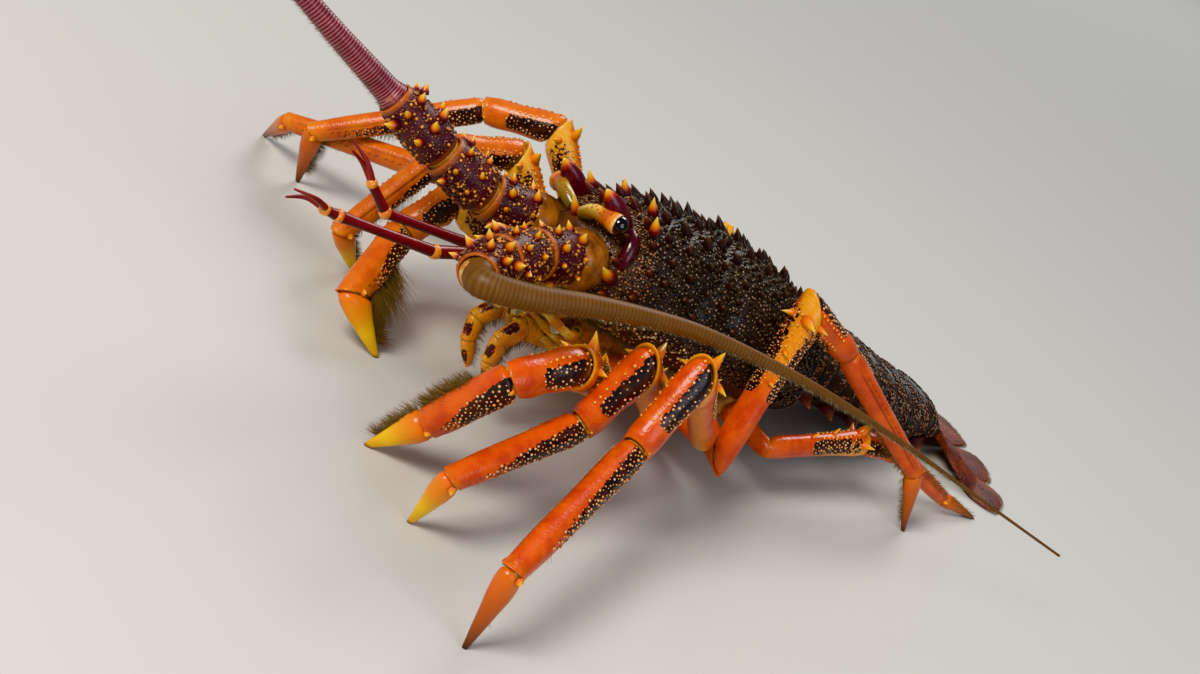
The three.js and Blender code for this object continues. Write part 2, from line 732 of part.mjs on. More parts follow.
function fanPlate(frames, plate) {
  const last = frames[frames.length - 1];
  const start = last.end.clone().addScaledVector(last.heading, GAP)
    .addScaledVector(last.across, plate.across).addScaledVector(last.upright, -1);
  const turn = radians(plate.fan);
  const along = vector(Math.sin(turn), Math.cos(turn), 0);
  const side = vector(along.y, -along.x, 0);
  return toSolid(loft(FAN_ROWS.length - 1, 12, (row, sine, cosine) => {
    const [share, spread, half] = FAN_ROWS[row];
    const wide = plate.root + (plate.wide - plate.root) * spread;
    const level = Math.max(half * 0.8, start.z * (1 - share / FAN_LANDING));
    const offset = side.clone().multiplyScalar(-wide * signedPower(sine, 0.8));
    offset.z = half * cosine;
    const slide = row === 0 ? offset.dot(last.heading) / along.dot(last.heading) : 0;
    const spot = start.clone().addScaledVector(along, share * plate.length - slide).add(offset);
    spot.z = Math.max(0, level + offset.z);
    return spot;
  }));
}

// The whole animal

const lobster = new THREE.Group();

function addNode(name, solid, finish) {
  const mesh = new THREE.Mesh(toGeometry(largest(solid)), finish);
  mesh.name = name;
  lobster.add(mesh);
}

const eyesGrown = [1, -1].map((side) => eye(side, GAP));
const armour = [1, -1].flatMap((side) => [horn(side), eyeRim(side)]);
const shell = join([carapaceSkin(0), ...armour, ...frontSpines(), ...shellSpines()]);
addNode('carapace', cut(shell, eyesGrown), FINISH.shell);
addNode('underside', cut(toSolid(undersideSkin(0)), [carapaceGrown]), FINISH.mouth);

['left', 'right'].forEach((name) => {
  const side = name === 'left' ? 1 : -1;
  addNode(`eye_${name}`, eye(side, 0), FINISH.eye);
  addNode(`antenna_stem_${name}`, stem(name), FINISH.shell);
  addNode(`antenna_whip_base_${name}`, whipLength(name, 0, 0.45, 10), FINISH.feeler);
  addNode(`antenna_whip_tip_${name}`, whipLength(name, 0.451, 1, 10), FINISH.feeler);
  addNode(`antennule_${name}`, antennule(name), FINISH.feeler);
  addNode(`jaw_leg_${name}`, jawLeg(side), FINISH.mouth);
  LEG_PAIRS.forEach((pair, i) => {
    const parts = leg(side, pair, LEG_POSES[name][i]);
    addNode(`leg_${name}_${i + 1}_upper`, parts.upper, FINISH.leg);
    addNode(`leg_${name}_${i + 1}_lower`, parts.lower, FINISH.leg);
    addNode(`leg_${name}_${i + 1}_foot`, parts.foot, FINISH.claw);
  });
});

const abdomen = abdomenFrames();
abdomen.forEach((frame, i) => {
  addNode(`abdomen_${i + 1}`, abdomenSegment(abdomen, i), FINISH.shell);
});
FAN.forEach((plate) => addNode(plate.name, fanPlate(abdomen, plate), FINISH.shell));

// The origin is the middle of the animal's footprint.
const reach = new THREE.Box3().setFromObject(lobster);
const middle = reach.getCenter(new THREE.Vector3());
lobster.position.set(-middle.x, -middle.y, -reach.min.z);

export default lobster;
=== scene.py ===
# %% [markdown]
# # A red rock lobster, life size
#
# The solids of the animal are already made: carapace, feelers, legs, abdomen and tail fan stand
# in their places. This lesson dresses them as the real shell looks. Each solid is replaced by a
# finer piece of the same size and place, and then gets what a solid leaves out: spines in their
# hundreds, cream granules in dark patches, ringed feelers, soft joints and bristles.

# %% The solids and the units
import json
import math
from types import SimpleNamespace

import bpy
import numpy as np
from mathutils import Matrix, Vector

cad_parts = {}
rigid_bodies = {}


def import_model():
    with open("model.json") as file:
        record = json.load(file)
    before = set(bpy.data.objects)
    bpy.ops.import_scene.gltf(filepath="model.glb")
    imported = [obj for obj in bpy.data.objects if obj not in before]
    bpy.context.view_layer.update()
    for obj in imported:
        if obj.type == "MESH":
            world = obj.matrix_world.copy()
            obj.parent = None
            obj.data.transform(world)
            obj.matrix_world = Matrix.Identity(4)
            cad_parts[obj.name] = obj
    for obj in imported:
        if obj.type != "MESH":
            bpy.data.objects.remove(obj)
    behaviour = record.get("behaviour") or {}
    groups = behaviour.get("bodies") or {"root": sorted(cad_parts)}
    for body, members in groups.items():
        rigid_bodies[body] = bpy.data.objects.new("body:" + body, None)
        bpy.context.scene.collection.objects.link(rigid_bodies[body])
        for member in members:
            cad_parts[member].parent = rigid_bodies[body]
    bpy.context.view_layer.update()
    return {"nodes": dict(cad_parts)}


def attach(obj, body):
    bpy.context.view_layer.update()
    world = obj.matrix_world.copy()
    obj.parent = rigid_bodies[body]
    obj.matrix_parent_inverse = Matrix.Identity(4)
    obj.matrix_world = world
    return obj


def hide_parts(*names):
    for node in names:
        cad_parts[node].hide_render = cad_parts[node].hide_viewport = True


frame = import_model()
MM = 0.001
SIDES = {"left": 1, "right": -1}
print("solids:", len(frame["nodes"]))

# %% [markdown]
# The animal leans: its nose is a little up and its left side is higher, because it climbs. All
# of its trunk is easier to describe in a frame of its own, which starts at the root of the
# rostrum, with x to the animal's left, y to the rear and z up. One matrix turns that frame into
# the frame of the room. Sizes are in millimetres up to the moment when a mesh is written.

# %% The body's own frame
CARAPACE_LENGTH = 136
CARAPACE_HALF_WIDTH = 42
ROSTRUM_HEIGHT = 89
BODY_LEAN = {"X": -12, "Y": -12}
FOOTPRINT_SHIFT = np.array([19.69, -4.76, 0])
SEED = 7
UP = (0, 0, 1.0)

LEANS = {axis: Matrix.Rotation(math.radians(turn), 3, axis) for axis, turn in BODY_LEAN.items()}
BODY_TURN = np.array(LEANS["Y"] @ LEANS["X"])


def from_body_direction(direction, side=1):
    """A direction of the body frame, in the room. A side of -1 mirrors it to the right."""
    return np.asarray(direction, dtype=float) * (side, 1, 1) @ BODY_TURN.T


def from_body(points, side=1):
    """Points of the body frame, in the room. A side of -1 mirrors them to the right."""
    return from_body_direction(points, side) + (0, 0, ROSTRUM_HEIGHT)


def in_scene(points):
    """Millimetres of the solids' own drawing, as metres over the middle of the footprint."""
    return (np.asarray(points, dtype=float) + FOOTPRINT_SHIFT) * MM


def unit(vectors):
    """The same directions with a length of one."""
    vectors = np.asarray(vectors, dtype=float)
    return vectors / np.linalg.norm(vectors, axis=-1, keepdims=True)


def eased(share):
    """A smooth step from 0 to 1."""
    share = np.clip(share, 0, 1)
    return share * share * (3 - 2 * share)


def signed_power(value, power):
    return np.sign(value) * np.abs(value) ** power


def bell(distance, width):
    """1 in the middle, falling smoothly to 0 on both sides."""
    return np.exp(-(distance / width) ** 2)


def half_turn(angle):
    """The same angle between half a turn to one side and half a turn to the other."""
    return (angle + math.pi) % (2 * math.pi) - math.pi


def between_rows(table, places):
    """Smooth values at the given places of a table of [place, value, value, ...] rows."""
    rows = np.array(table, dtype=float)
    keys = rows[:, 0]
    values = rows[:, 1:]
    slopes = np.gradient(values, keys, axis=0)
    places = np.clip(places, keys[0], keys[-1])
    low = np.clip(np.searchsorted(keys, places, side="right") - 1, 0, len(keys) - 2)
    step = (keys[low + 1] - keys[low])[:, None]
    share = (places - keys[low])[:, None] / step
    start = (2 * share**3 - 3 * share**2 + 1) * values[low]
    end = (3 * share**2 - 2 * share**3) * values[low + 1]
    leave = (share**3 - 2 * share**2 + share) * slopes[low] * step
    arrive = (share**3 - share**2) * slopes[low + 1] * step
    return start + end + leave + arrive


def girths(table, knobs=0):
    """Half widths along a form, read from a table, with a few shallow joints."""

    def radius(along):
        joints = 0.07 * np.cos(along * knobs * 2 * math.pi) if knobs else 0
        return between_rows(table, along)[:, 0] * (1 - joints)

    return radius


# %% [markdown]
# Nearly every part of a lobster is a closed tube that swells and narrows. Such a skin could be
# sculpted or lofted. Here a flat grid is rolled up: the grid's long side runs along the part, its
# short side runs round it, and a formula says where each corner goes. The seam and the two ends
# then meet, and merging the doubled corners closes them.

# %% A grid rolled into a closed skin
SEAM = 1e-6


def alone(piece=None):
    """Nothing stays selected, apart from the piece."""
    bpy.ops.object.select_all(action="DESELECT")
    if piece:
        piece.select_set(True)
        bpy.context.view_layer.objects.active = piece


def store(piece, mark, values):
    """A value on every corner of a piece, which its finish can read."""
    layer = piece.data.attributes.new(mark, "FLOAT", "POINT")
    layer.data.foreach_set("value", np.asarray(values, dtype=np.float32))


def skin(name, rows, sides, place, marks=None):
    """A closed skin. place(along, angle) gives its points from shares of the length and angles."""
    alone()
    bpy.ops.mesh.primitive_grid_add(x_subdivisions=rows, y_subdivisions=sides, size=2)
    piece = bpy.context.object
    piece.name = name
    flat = np.empty(len(piece.data.vertices) * 3)
    piece.data.vertices.foreach_get("co", flat)
    flat = flat.reshape(-1, 3)
    along = (flat[:, 0] + 1) / 2
    angle = flat[:, 1] * math.pi
    piece.data.vertices.foreach_set("co", in_scene(place(along, angle)).ravel())
    for mark, values in (marks or {}).items():
        store(piece, mark, values(along, angle))
    bpy.ops.object.mode_set(mode="EDIT")
    bpy.ops.mesh.select_all(action="SELECT")
    bpy.ops.mesh.remove_doubles(threshold=SEAM)
    bpy.ops.mesh.normals_make_consistent(inside=False)
    bpy.ops.object.mode_set(mode="OBJECT")
    bpy.ops.object.shade_smooth()
    return piece


def ball(matrix, segments, rings):
    """A closed ball, put in its place by a matrix."""
    alone()
    bpy.ops.mesh.primitive_uv_sphere_add(segments=segments, ring_count=rings, radius=1)
    piece = bpy.context.object
    piece.matrix_world = matrix
    bpy.ops.object.transform_apply(location=True, rotation=True, scale=True)
    bpy.ops.object.shade_smooth()
    return piece


def dress(pieces, finish, slot, *solids, name=None):
    """Gives a piece, or closed shells kept as one, its finish, and lets it stand for its solids."""
    pieces = pieces if isinstance(pieces, list) else [pieces]
    piece = pieces[0]
    alone(piece)
    for other in pieces:
        other.select_set(True)
    if len(pieces) > 1:
        bpy.ops.object.join()
    piece.name = name or piece.name
    piece.data.materials.clear()
    piece.data.materials.append(finish)
    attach(piece, "root")
    if solids:
        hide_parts(*solids)
    return piece


# %% [markdown]
# Spines, granules and bristles repeat in their hundreds, so each is modelled once, with a few
# dozen faces: a circle is extruded upwards ring by ring, each ring is resized and pushed a
# little to one side, and the last ring is merged to a tip. The copies are then turned, sized
# and joined to one mesh. Each copy remembers how near its corners are to the tip, because a
# lobster's spines change colour on the way up.

# %% Small forms and their copies
TUFT_PATCH = 0.003


def small_form(sides, steps):
    """Corners, faces and tip shares of a form one unit high. steps: (height, radius, push)."""
    alone()
    bpy.ops.mesh.primitive_circle_add(vertices=sides, radius=steps[0][1])
    form = bpy.context.object
    bpy.ops.object.mode_set(mode="EDIT")
    bpy.ops.mesh.select_all(action="SELECT")
    for before, after in zip(steps, steps[1:]):
        rise = after[0] - before[0]
        push = after[2] - before[2]
        bpy.ops.mesh.extrude_region_move(TRANSFORM_OT_translate={"value": (push, 0, rise)})
        if after[1] > 0:
            ratio = after[1] / before[1]
            centre = (after[2], 0, after[0])
            bpy.ops.transform.resize(value=(ratio, ratio, 1), center_override=centre)
        else:
            bpy.ops.mesh.merge(type="CENTER")
    bpy.ops.object.mode_set(mode="OBJECT")
    corners = np.array([corner.co for corner in form.data.vertices])
    faces = [tuple(face.vertices) for face in form.data.polygons]
    bpy.data.objects.remove(form, do_unlink=True)
    return {"corners": corners, "faces": faces, "tip": corners[:, 2] / corners[:, 2].max()}


SPINE = small_form(8, [(-0.25, 1.05, 0), (0.0, 1.0, 0), (0.3, 0.72, 0.05), (0.65, 0.36, 0.2),
                       (0.9, 0.12, 0.38), (1.0, 0, 0.45)])
GRANULE = small_form(7, [(-0.4, 1.0, 0), (0.35, 0.92, 0), (0.8, 0.55, 0), (1.0, 0, 0)])
SCALE = small_form(7, [(-0.3, 1.0, 0), (0.4, 0.9, 0.25), (0.85, 0.5, 0.75), (1.0, 0, 1.0)])
BRISTLE = small_form(3, [(-0.05, 1.0, 0), (0.4, 0.75, 0.04), (0.8, 0.4, 0.16), (1.0, 0, 0.26)])


def aimed(directions, leans):
    """Turns that set a form upright along its direction, with its push towards the lean."""
    up = unit(directions)
    side = leans - up * np.sum(leans * up, axis=1, keepdims=True)
    side = unit(side + 1e-9)
    return np.stack([side, np.cross(up, side), up], axis=2)


def copies(name, form, roots, directions, leans, widths, heights, finish, slot, warm=None, bake=None):
    """One mesh of many copies, which stand along their directions and are pushed to their leans.

    warm: the share of warm colour of each copy. bake: its root's place on the map of its skin.
    """
    corners = form["corners"]
    count = len(roots)
    turns = aimed(directions, np.broadcast_to(leans, (count, 3)))
    across = np.broadcast_to(widths, count)
    sizes = np.stack([across, across, np.broadcast_to(heights, count)], axis=1)
    spots = np.einsum("kij,knj->kni", turns, corners[None] * sizes[:, None]) + np.asarray(roots)[:, None]
    faces = [tuple(corner + copy * len(corners) for corner in face)
             for copy in range(count) for face in form["faces"]]
    mesh = bpy.data.meshes.new(name)
    mesh.from_pydata(in_scene(spots.reshape(-1, 3)).tolist(), [], faces)
    piece = bpy.data.objects.new(name, mesh)
    bpy.context.collection.objects.link(piece)
    store(piece, "tip", np.tile(form["tip"], count))
    if warm is not None:
        store(piece, "warm", np.repeat(np.broadcast_to(warm, count), len(corners)))
    if bake is not None:
        bake_map(piece, form, bake)
    alone(piece)
    bpy.ops.object.shade_smooth()
    return dress(piece, finish, slot)


def bake_map(piece, form, places):
    """A map of the copies: each copy is a small patch at its root's place."""
    layer = piece.data.uv_layers.new(name="OFBake")
    loops = [corner for face in form["faces"] for corner in face]
    spread = form["corners"][loops][:, [0, 2]]
    spread = (spread - spread.min(axis=0)) / np.ptp(spread, axis=0) * TUFT_PATCH
    patches = np.asarray(places)[:, None] + spread[None]
    layer.data.foreach_set("uv", np.clip(patches, 0, 1).astype(np.float32).ravel())


def stacked(parts):
    """Lists of arrays, each list laid end to end."""
    return [np.concatenate(part) for part in zip(*parts)]


# %% [markdown]
# A finish is a net of small steps: textures in the object's own space, marks that are stored on
# the skin, and ramps and mixes between them. A short class writes each step in one line. Pattern
# sizes are those of the shell, in millimetres.

# %% The steps of a finish


def linear(code):
    """A hex colour as linear red, green, blue and alpha."""
    shares = [int(code[i:i + 2], 16) / 255 for i in (1, 3, 5)]
    bent = [s / 12.92 if s <= 0.04045 else ((s + 0.055) / 1.055) ** 2.4 for s in shares]
    return (*bent, 1.0)


class Finish:
    """A material with one Principled shader. Each step gives an output for the next."""

    def __init__(self, name):
        self.material = bpy.data.materials.new(name)
        self.material.use_nodes = True
        self.tree = self.material.node_tree
        self.shader = self.tree.nodes["Principled BSDF"].inputs
        self.place = self.node("TexCoord", "Object")

    def feed(self, inputs, values):
        """Links outputs to the inputs, or sets them. A hex code is a colour."""
        for name, value in values.items():
            if isinstance(value, bpy.types.NodeSocket):
                self.tree.links.new(value, inputs[name])
            else:
                inputs[name].default_value = linear(value) if isinstance(value, str) else value

    def node(self, kind, output, values=None, **settings):
        made = self.tree.nodes.new("ShaderNode" + kind)
        for name, value in settings.items():
            setattr(made, name, value)
        self.feed(made.inputs, values or {})
        return made.outputs[output]

    def noise(self, size, detail=2, roughness=0.5):
        return self.node("TexNoise", "Fac", {"Vector": self.place, "Scale": 1 / (size * MM),
                                             "Detail": detail, "Roughness": roughness})

    def cells(self, size):
        return self.node("TexVoronoi", "Distance", {"Vector": self.place, "Scale": 1 / (size * MM)})

    def mark(self, name):
        return self.node("Attribute", "Fac", attribute_name=name)

    def fit(self, source, low, high, first=0.0, last=1.0):
        return self.node("MapRange", "Result", {"Value": source, "From Min": low, "From Max": high,
                                                "To Min": first, "To Max": last})

    def maths(self, operation, *values, clamp=False):
        return self.node("Math", 0, dict(enumerate(values)), operation=operation, use_clamp=clamp)

    def mix(self, share, first, second):
        return self.node("Mix", 2, {0: share, 6: first, 7: second}, data_type="RGBA")

    def ramp(self, source, *stops):
        made = self.node("ValToRGB", "Color", {"Fac": source})
        elements = made.node.color_ramp.elements
        while len(elements) < len(stops):
            elements.new(0.5)
        for element, (place, code) in zip(elements, stops):
            element.position = place
            element.color = linear(code)
        return made

    def done(self, colour, height, depth, roughness, coat=0.0, coat_roughness=0.03, spots=None, **more):
        """The material. depth is that of the relief; spots: colour, size and cover of round spots."""
        if spots:
            code, size, cover = spots
            colour = self.mix(self.fit(self.cells(size), cover, cover * 0.6), colour, code)
        bump = self.node("Bump", "Normal", {"Distance": depth * MM, "Strength": 1.0, "Height": height})
        self.feed(self.shader, {"Base Color": colour, "Normal": bump, "Roughness": roughness,
                                "Coat Weight": coat, "Coat Roughness": coat_roughness, **more})
        return self.material


# %% [markdown]
# The photograph was taken a little above the animal, from its front left, with the horizon
# tilted. The camera repeats that place and tilt. A pale floor and three large soft lamps stand
# in for the rocks and the flash.

# %% Camera, floor and lamps
CAMERA_PLACE = (384.7, -336.1, 303.5)
CAMERA_RIGHT = (0.4461, 0.7726, 0.4519)
CAMERA_DOWN = (0.6316, 0.0859, -0.7705)
CAMERA_FORWARD = (-0.6341, 0.6291, -0.4496)
LENS = 42.0
SENSOR_WIDTH = 36.0
FLOOR_SIZE = 60.0
LAMPS = [
    ("key", (0.15, -1.15, 1.35), 0.6, 25.0, "#fff7ec"),
    ("fill", (1.6, 0.1, 0.9), 1.2, 9.0, "#eef3ff"),
    ("rim", (-2.6, 3.2, 3.8), 2.4, 110.0, "#ffffff"),
]

view = bpy.data.cameras.new("view")
view.lens = LENS
view.sensor_width = SENSOR_WIDTH
view.sensor_fit = "HORIZONTAL"
view.clip_start = 0.01
camera = bpy.data.objects.new("camera", view)
axes = np.array([CAMERA_RIGHT, np.negative(CAMERA_DOWN), np.negative(CAMERA_FORWARD)]).T
camera.matrix_world = Matrix.Translation(in_scene(CAMERA_PLACE)) @ Matrix(axes.tolist()).to_4x4()
bpy.context.collection.objects.link(camera)
bpy.context.scene.camera = camera
bpy.context.scene.view_settings.view_transform = "Khronos PBR Neutral"

bpy.ops.mesh.primitive_plane_add(size=FLOOR_SIZE)
floor = bpy.context.object
floor.name = "floor"
floor_paint = Finish("pale matt floor")
floor_paint.feed(floor_paint.shader, {"Base Color": "#cac9c5", "Roughness": 0.8})
floor.data.materials.append(floor_paint.material)

for name, place, width, power, tint in LAMPS:
    lamp_data = bpy.data.lights.new(name, "AREA")
    lamp_data.size = width
    lamp_data.energy = power
    lamp_data.color = linear(tint)[:3]
    lamp = bpy.data.objects.new(name, lamp_data)
    lamp.location = place
    lamp.rotation_euler = (-Vector(place)).to_track_quat("-Z", "Y").to_euler()
    bpy.context.collection.objects.link(lamp)

world = bpy.data.worlds.new("studio")
world.use_nodes = True
world.node_tree.nodes["Background"].inputs["Color"].default_value = linear("#d6d8da")
world.node_tree.nodes["Background"].inputs["Strength"].default_value = 0.42
bpy.context.scene.world = world

# %% [markdown]
# Lobster shell is chitin hardened with lime. On the back it is dark purple-brown, mottled, with
# pale specks where sand and worn scales catch the light, and it has the sheen of wet horn. The
# mark `pale` is 1 where it has a smooth, lighter edge. The legs are a bright orange, redder
# along the top and yellow at the soft joints, with dark patches. Three marks say where: `patch`
# is the dark ground, `line` the thin dark seam of the shank, and `pale` the yellow. A noise
# roughens the edge of each, so that the borders look grown and not painted. Spines, horns and
# claws are darker at the root and worn to orange, yellow or pink at the tip: `tip` climbs from
# root to point, and `warm` says how much of that colour a single spine has.

# %% All finishes
HORN_IOR = 1.54
FLESH = {"Subsurface Weight": 0.06, "Subsurface Radius": (0.004, 0.0015, 0.0006)}
SOFT_FLESH = {"Subsurface Weight": 0.25, "Subsurface Radius": (0.004, 0.002, 0.001)}


def shell_finish(name, dark, middle, warm, speck, edge="#8a4a1c"):
    paint = Finish(name)
    tint = paint.ramp(paint.noise(11, 5, 0.62), (0.30, dark), (0.52, middle), (0.72, warm))
    grit = paint.fit(paint.cells(1.5), 0.34, 0.16, 0.0, 0.75)
    patchy = paint.noise(5)
    specks = paint.maths("MULTIPLY", grit, paint.fit(patchy, 0.45, 0.62))
    colour = paint.mix(paint.mark("pale"), paint.mix(specks, tint, speck), edge)
    height = paint.maths("ADD", paint.noise(0.9, 3), grit)
    return paint.done(colour, height, 0.35, paint.fit(patchy, 0, 1, 0.34, 0.62), 0.3, 0.3, IOR=HORN_IOR)


def leg_finish(name, orange, red, yellow, ground, spots=None):
    paint = Finish(name)
    tint = paint.ramp(paint.noise(8, 4, 0.6), (0.35, red), (0.62, orange))
    ragged = paint.maths("MULTIPLY_ADD", paint.noise(1.6, 3), 1.5, -0.75)
    pale = paint.mark("pale")
    soft = paint.maths("ADD", pale, ragged, clamp=True)
    lighter = paint.mix(paint.maths("MULTIPLY", soft, pale, clamp=True), tint, yellow)
    patch = paint.fit(paint.maths("ADD", paint.mark("patch"), ragged), 0.44, 0.58)
    field = paint.ramp(paint.noise(5, 3), (0.48, ground[0]), (0.66, ground[1]))
    colour = paint.mix(paint.mark("line"), paint.mix(patch, lighter, field), "#4a1410")
    height = paint.maths("MULTIPLY_ADD", paint.noise(0.7), 0.4, paint.cells(1.1))
    return paint.done(colour, height, 0.12, 0.34, 0.35, 0.18, spots, IOR=HORN_IOR, **FLESH)


def tipped_finish(name, cool, warm, roughness=0.36, spots=None):
    """cool and warm: the ramps from root to tip of the dull and of the bright spines."""
    paint = Finish(name)
    tip = paint.mark("tip")
    colour = paint.mix(paint.mark("warm"), paint.ramp(tip, *cool), paint.ramp(tip, *warm))
    return paint.done(colour, paint.noise(0.8), 0.12, roughness, 0.3, 0.2, spots, IOR=HORN_IOR)


def plain_finish(name, low, high, size, roughness, coat=0.0, spots=None, **more):
    """Two close colours, clouded at the given size."""
    paint = Finish(name)
    cloud = paint.noise(size, 4)
    tint = paint.ramp(cloud, (0.35, low), (0.68, high))
    return paint.done(tint, cloud, size * 0.06, roughness, coat, spots=spots, **more)


def feeler_finish(name, groove, crest, painted_highlight, roughness):
    """Ringed feelers: the mark `ring` is 0 in each groove and 1 on each crest, which gets a painted
    highlight.
    """
    paint = Finish(name)
    # The last ramp stop paints a highlight on the top of each ring.
    tint = paint.ramp(paint.mark("ring"), (0.15, groove), (0.6, crest), (1.0, painted_highlight))
    colour = paint.mix(paint.fit(paint.noise(9, 3), 0.3, 0.7, 0.0, 0.55), tint, groove)
    return paint.done(colour, paint.noise(0.8), 0.08, roughness, 0.5 - roughness * 0.8, 0.25, IOR=HORN_IOR)


BACK_SHELL = shell_finish("chitin of the back", "#130f0d", "#261d18", "#392c22", "#908a78", "#6c3a18")
STEM_SHELL = shell_finish("chitin of the feeler stems", "#220c18", "#4a1626", "#6a2a1e", "#b08a62",
                          "#b8601a")
TAIL_SHELL = shell_finish("chitin of the tail fan", "#33120f", "#6a2613", "#96421a", "#c48a44")
LEG_GROUND = ("#180d10", "#481c14")
LEG_SHELL = {
    "left": leg_finish("chitin of the left legs", "#dc5a06", "#c23c03", "#eba01e", LEG_GROUND),
    "right": leg_finish("chitin of the right legs", "#e07410", "#cc560a", "#f0b43a", LEG_GROUND),
}
JAW_SHELL = leg_finish("chitin of the jaw legs", "#e4941c", "#d06c0e", "#f0cc62", ("#340a10", "#6c1814"),
                       ("#c4500e", 1.5, 0.26))
BACK_SPINES = tipped_finish(
    "spines of the back",
    [(0.0, "#161010"), (0.6, "#2e231e"), (0.85, "#574b3e"), (1.0, "#968e7a")],
    [(0.0, "#2a0e14"), (0.5, "#5c1616"), (0.8, "#9c3418"), (1.0, "#dc8a34")],
)
STEM_SPINES = tipped_finish(
    "spines of the feelers",
    [(0.0, "#2a0e18"), (0.45, "#7a3a30"), (0.8, "#c89478"), (1.0, "#e0bc9c")],
    [(0.0, "#2a0c16"), (0.3, "#6a1418"), (0.48, "#d4681a"), (0.68, "#f0b02a"), (1.0, "#fadc72")],
    0.28,
)
STEM_GRAINS = tipped_finish(
    "grains of the feelers and the front",
    [(0.0, "#200e12"), (0.45, "#542a22"), (0.8, "#845842"), (1.0, "#a07c62")],
    [(0.0, "#3a1216"), (0.45, "#9c481c"), (0.75, "#cc8420"), (1.0, "#e0aa48")],
    0.32,
)
HORN = tipped_finish(
    "horns over the eyes",
    [(0.0, "#3a1218"), (0.6, "#5e1620"), (1.0, "#8a2a22")],
    [(0.0, "#3e0a16"), (0.82, "#560e1e"), (0.885, "#a83416"), (0.93, "#ee8a14"), (1.0, "#fbd050")],
    0.2,
)
GRANULES = tipped_finish(
    "cream granules",
    [(0.0, "#3c160c"), (0.45, "#b88254"), (1.0, "#e4cca2")],
    [(0.0, "#c0400a"), (0.5, "#e8801c"), (1.0, "#f0b850")],
)
CLAW = tipped_finish(
    "horny claws",
    [(0.0, "#e8680c"), (0.3, "#f0960c"), (0.62, "#f5c416"), (0.92, "#e0a81a"), (1.0, "#5a300e")],
    [(0.0, "#d84c08"), (0.45, "#f08a14"), (0.8, "#f8c030"), (1.0, "#fbdc70")],
    0.27,
)
REAR_CLAW = tipped_finish(
    "horny claws of the rear legs",
    [(0.0, "#d86a0a"), (0.25, "#cc5c0a"), (0.6, "#ac500f"), (0.88, "#743a12"), (1.0, "#30180c")],
    [(0.0, "#c84c08"), (0.45, "#e0801a"), (0.8, "#eeb030"), (1.0, "#f6d070")],
    0.3,
)
# The warm ramp colours the stalk's yellow upper edge, pale cream at the root, where it is also a painted
# highlight.
EYE_STALK = tipped_finish(
    "eye stalk",
    [(0.0, "#5e5226"), (0.4, "#94742a"), (0.64, "#a86a24"), (0.76, "#c0501a"), (0.9, "#e8902a"),
     (1.0, "#f6d49c")],
    [(0.0, "#eedc98"), (0.5, "#f0ca64"), (0.7, "#e8a038"), (0.8, "#c84a12"), (0.9, "#ee9a2c"),
     (1.0, "#f6d49c")],
    0.22, ("#a83210", 1.7, 0.34),
)
MEMBRANE = plain_finish("soft joint membrane", "#b87838", "#e2bc70", 2.0, 0.3, 0.4, **SOFT_FLESH)
CORNEA = plain_finish("cornea", "#050406", "#0d0b10", 0.4, 0.06, 1.0)
EYE_RIM = plain_finish("small joints", "#d8601a", "#f0b050", 2.4, 0.3, 0.5)
BRISTLES = plain_finish("bristles", "#5a4524", "#94794a", 1.2, 0.6)
PALE_BRISTLES = plain_finish("pale bristles", "#7d6f55", "#b8ac90", 1.2, 0.6)
# The pale greenish white of the jaws' plates is a painted glint.
JAW_PLATE_GLINT = plain_finish("jaw plates", "#a4b084", "#e2e6c4", 3.0, 0.3, 0.4)
BREAST = plain_finish("breast plate", "#7c431c", "#c98f4e", 3.0, 0.4, 0.2, ("#e8cc90", 2.0, 0.2))
SOCKET_EDGE = plain_finish("smooth edge of the feeler socket", "#5e3010", "#b06c22", 5.0, 0.34, 0.3)
# The last colour of each feeler finish is a painted highlight on the ring crests.
WHIPS = {
    "left": feeler_finish("ringed feeler, brown", "#5a3611", "#674012", "#76501c", 0.55),
    "right": feeler_finish("ringed feeler, purple", "#3a101c", "#7c283a", "#bc7074", 0.34),
}
THREAD = feeler_finish("small feelers", "#420810", "#86121c", "#c03e2a", 0.3)
print("finishes:", len(bpy.data.materials))


def facing(spot, along, angle, step=0.2, turn=0.02):
    """Points of a skin, their outward directions and their directions along the part."""
    here = spot(along, angle)
    ahead = unit(spot(along + step, angle) - spot(along - step, angle))
    round_ = unit(spot(along, angle + turn) - spot(along, angle - turn))
    out = unit(np.cross(ahead, round_))
    middle = (here + spot(along, angle + math.pi)) / 2
    sign = np.where(np.sum(out * (here - middle), axis=1) < 0, -1.0, 1.0)
    return here, out * sign[:, None], ahead


# %% [markdown]
# The carapace is one shield over head and breast. Its width, top and lower edge are read from a
# table of stations, as in the solid. What the solid leaves out is added here: the neck groove
# that crosses the back and runs forward down both sides, two shallow furrows behind it, and a
# raised hem at the rear edge.

# %% Carapace
CARAPACE_ROWS = [
    [-0.01, 0.26, -0.02, -0.50], [0.04, 0.55, 0.14, -0.72], [0.11, 0.71, 0.26, -0.86],
    [0.22, 0.81, 0.37, -0.91], [0.35, 0.88, 0.43, -0.95], [0.44, 0.93, 0.44, -1.00],
    [0.48, 0.92, 0.40, -1.01], [0.53, 0.97, 0.45, -1.03], [0.68, 1.00, 0.43, -1.05],
    [0.82, 0.98, 0.37, -1.05], [0.93, 0.93, 0.29, -1.02], [0.99, 0.86, 0.21, -0.97],
    [1.00, 0.80, 0.16, -0.92],
]
FRONT_EDGE = CARAPACE_ROWS[0][0] * CARAPACE_LENGTH
WIDEST_LEVEL = 0.42
NECK_GROOVE = {"place": 65, "sweep": 24, "depth": 1.9, "width": 2.8}
FURROW = {"start": 72, "angle": 22, "depth": 0.9, "width": 4}
HEM = {"place": 129, "depth": 1.1, "width": 1.6}
CAP_SHARE = 0.04


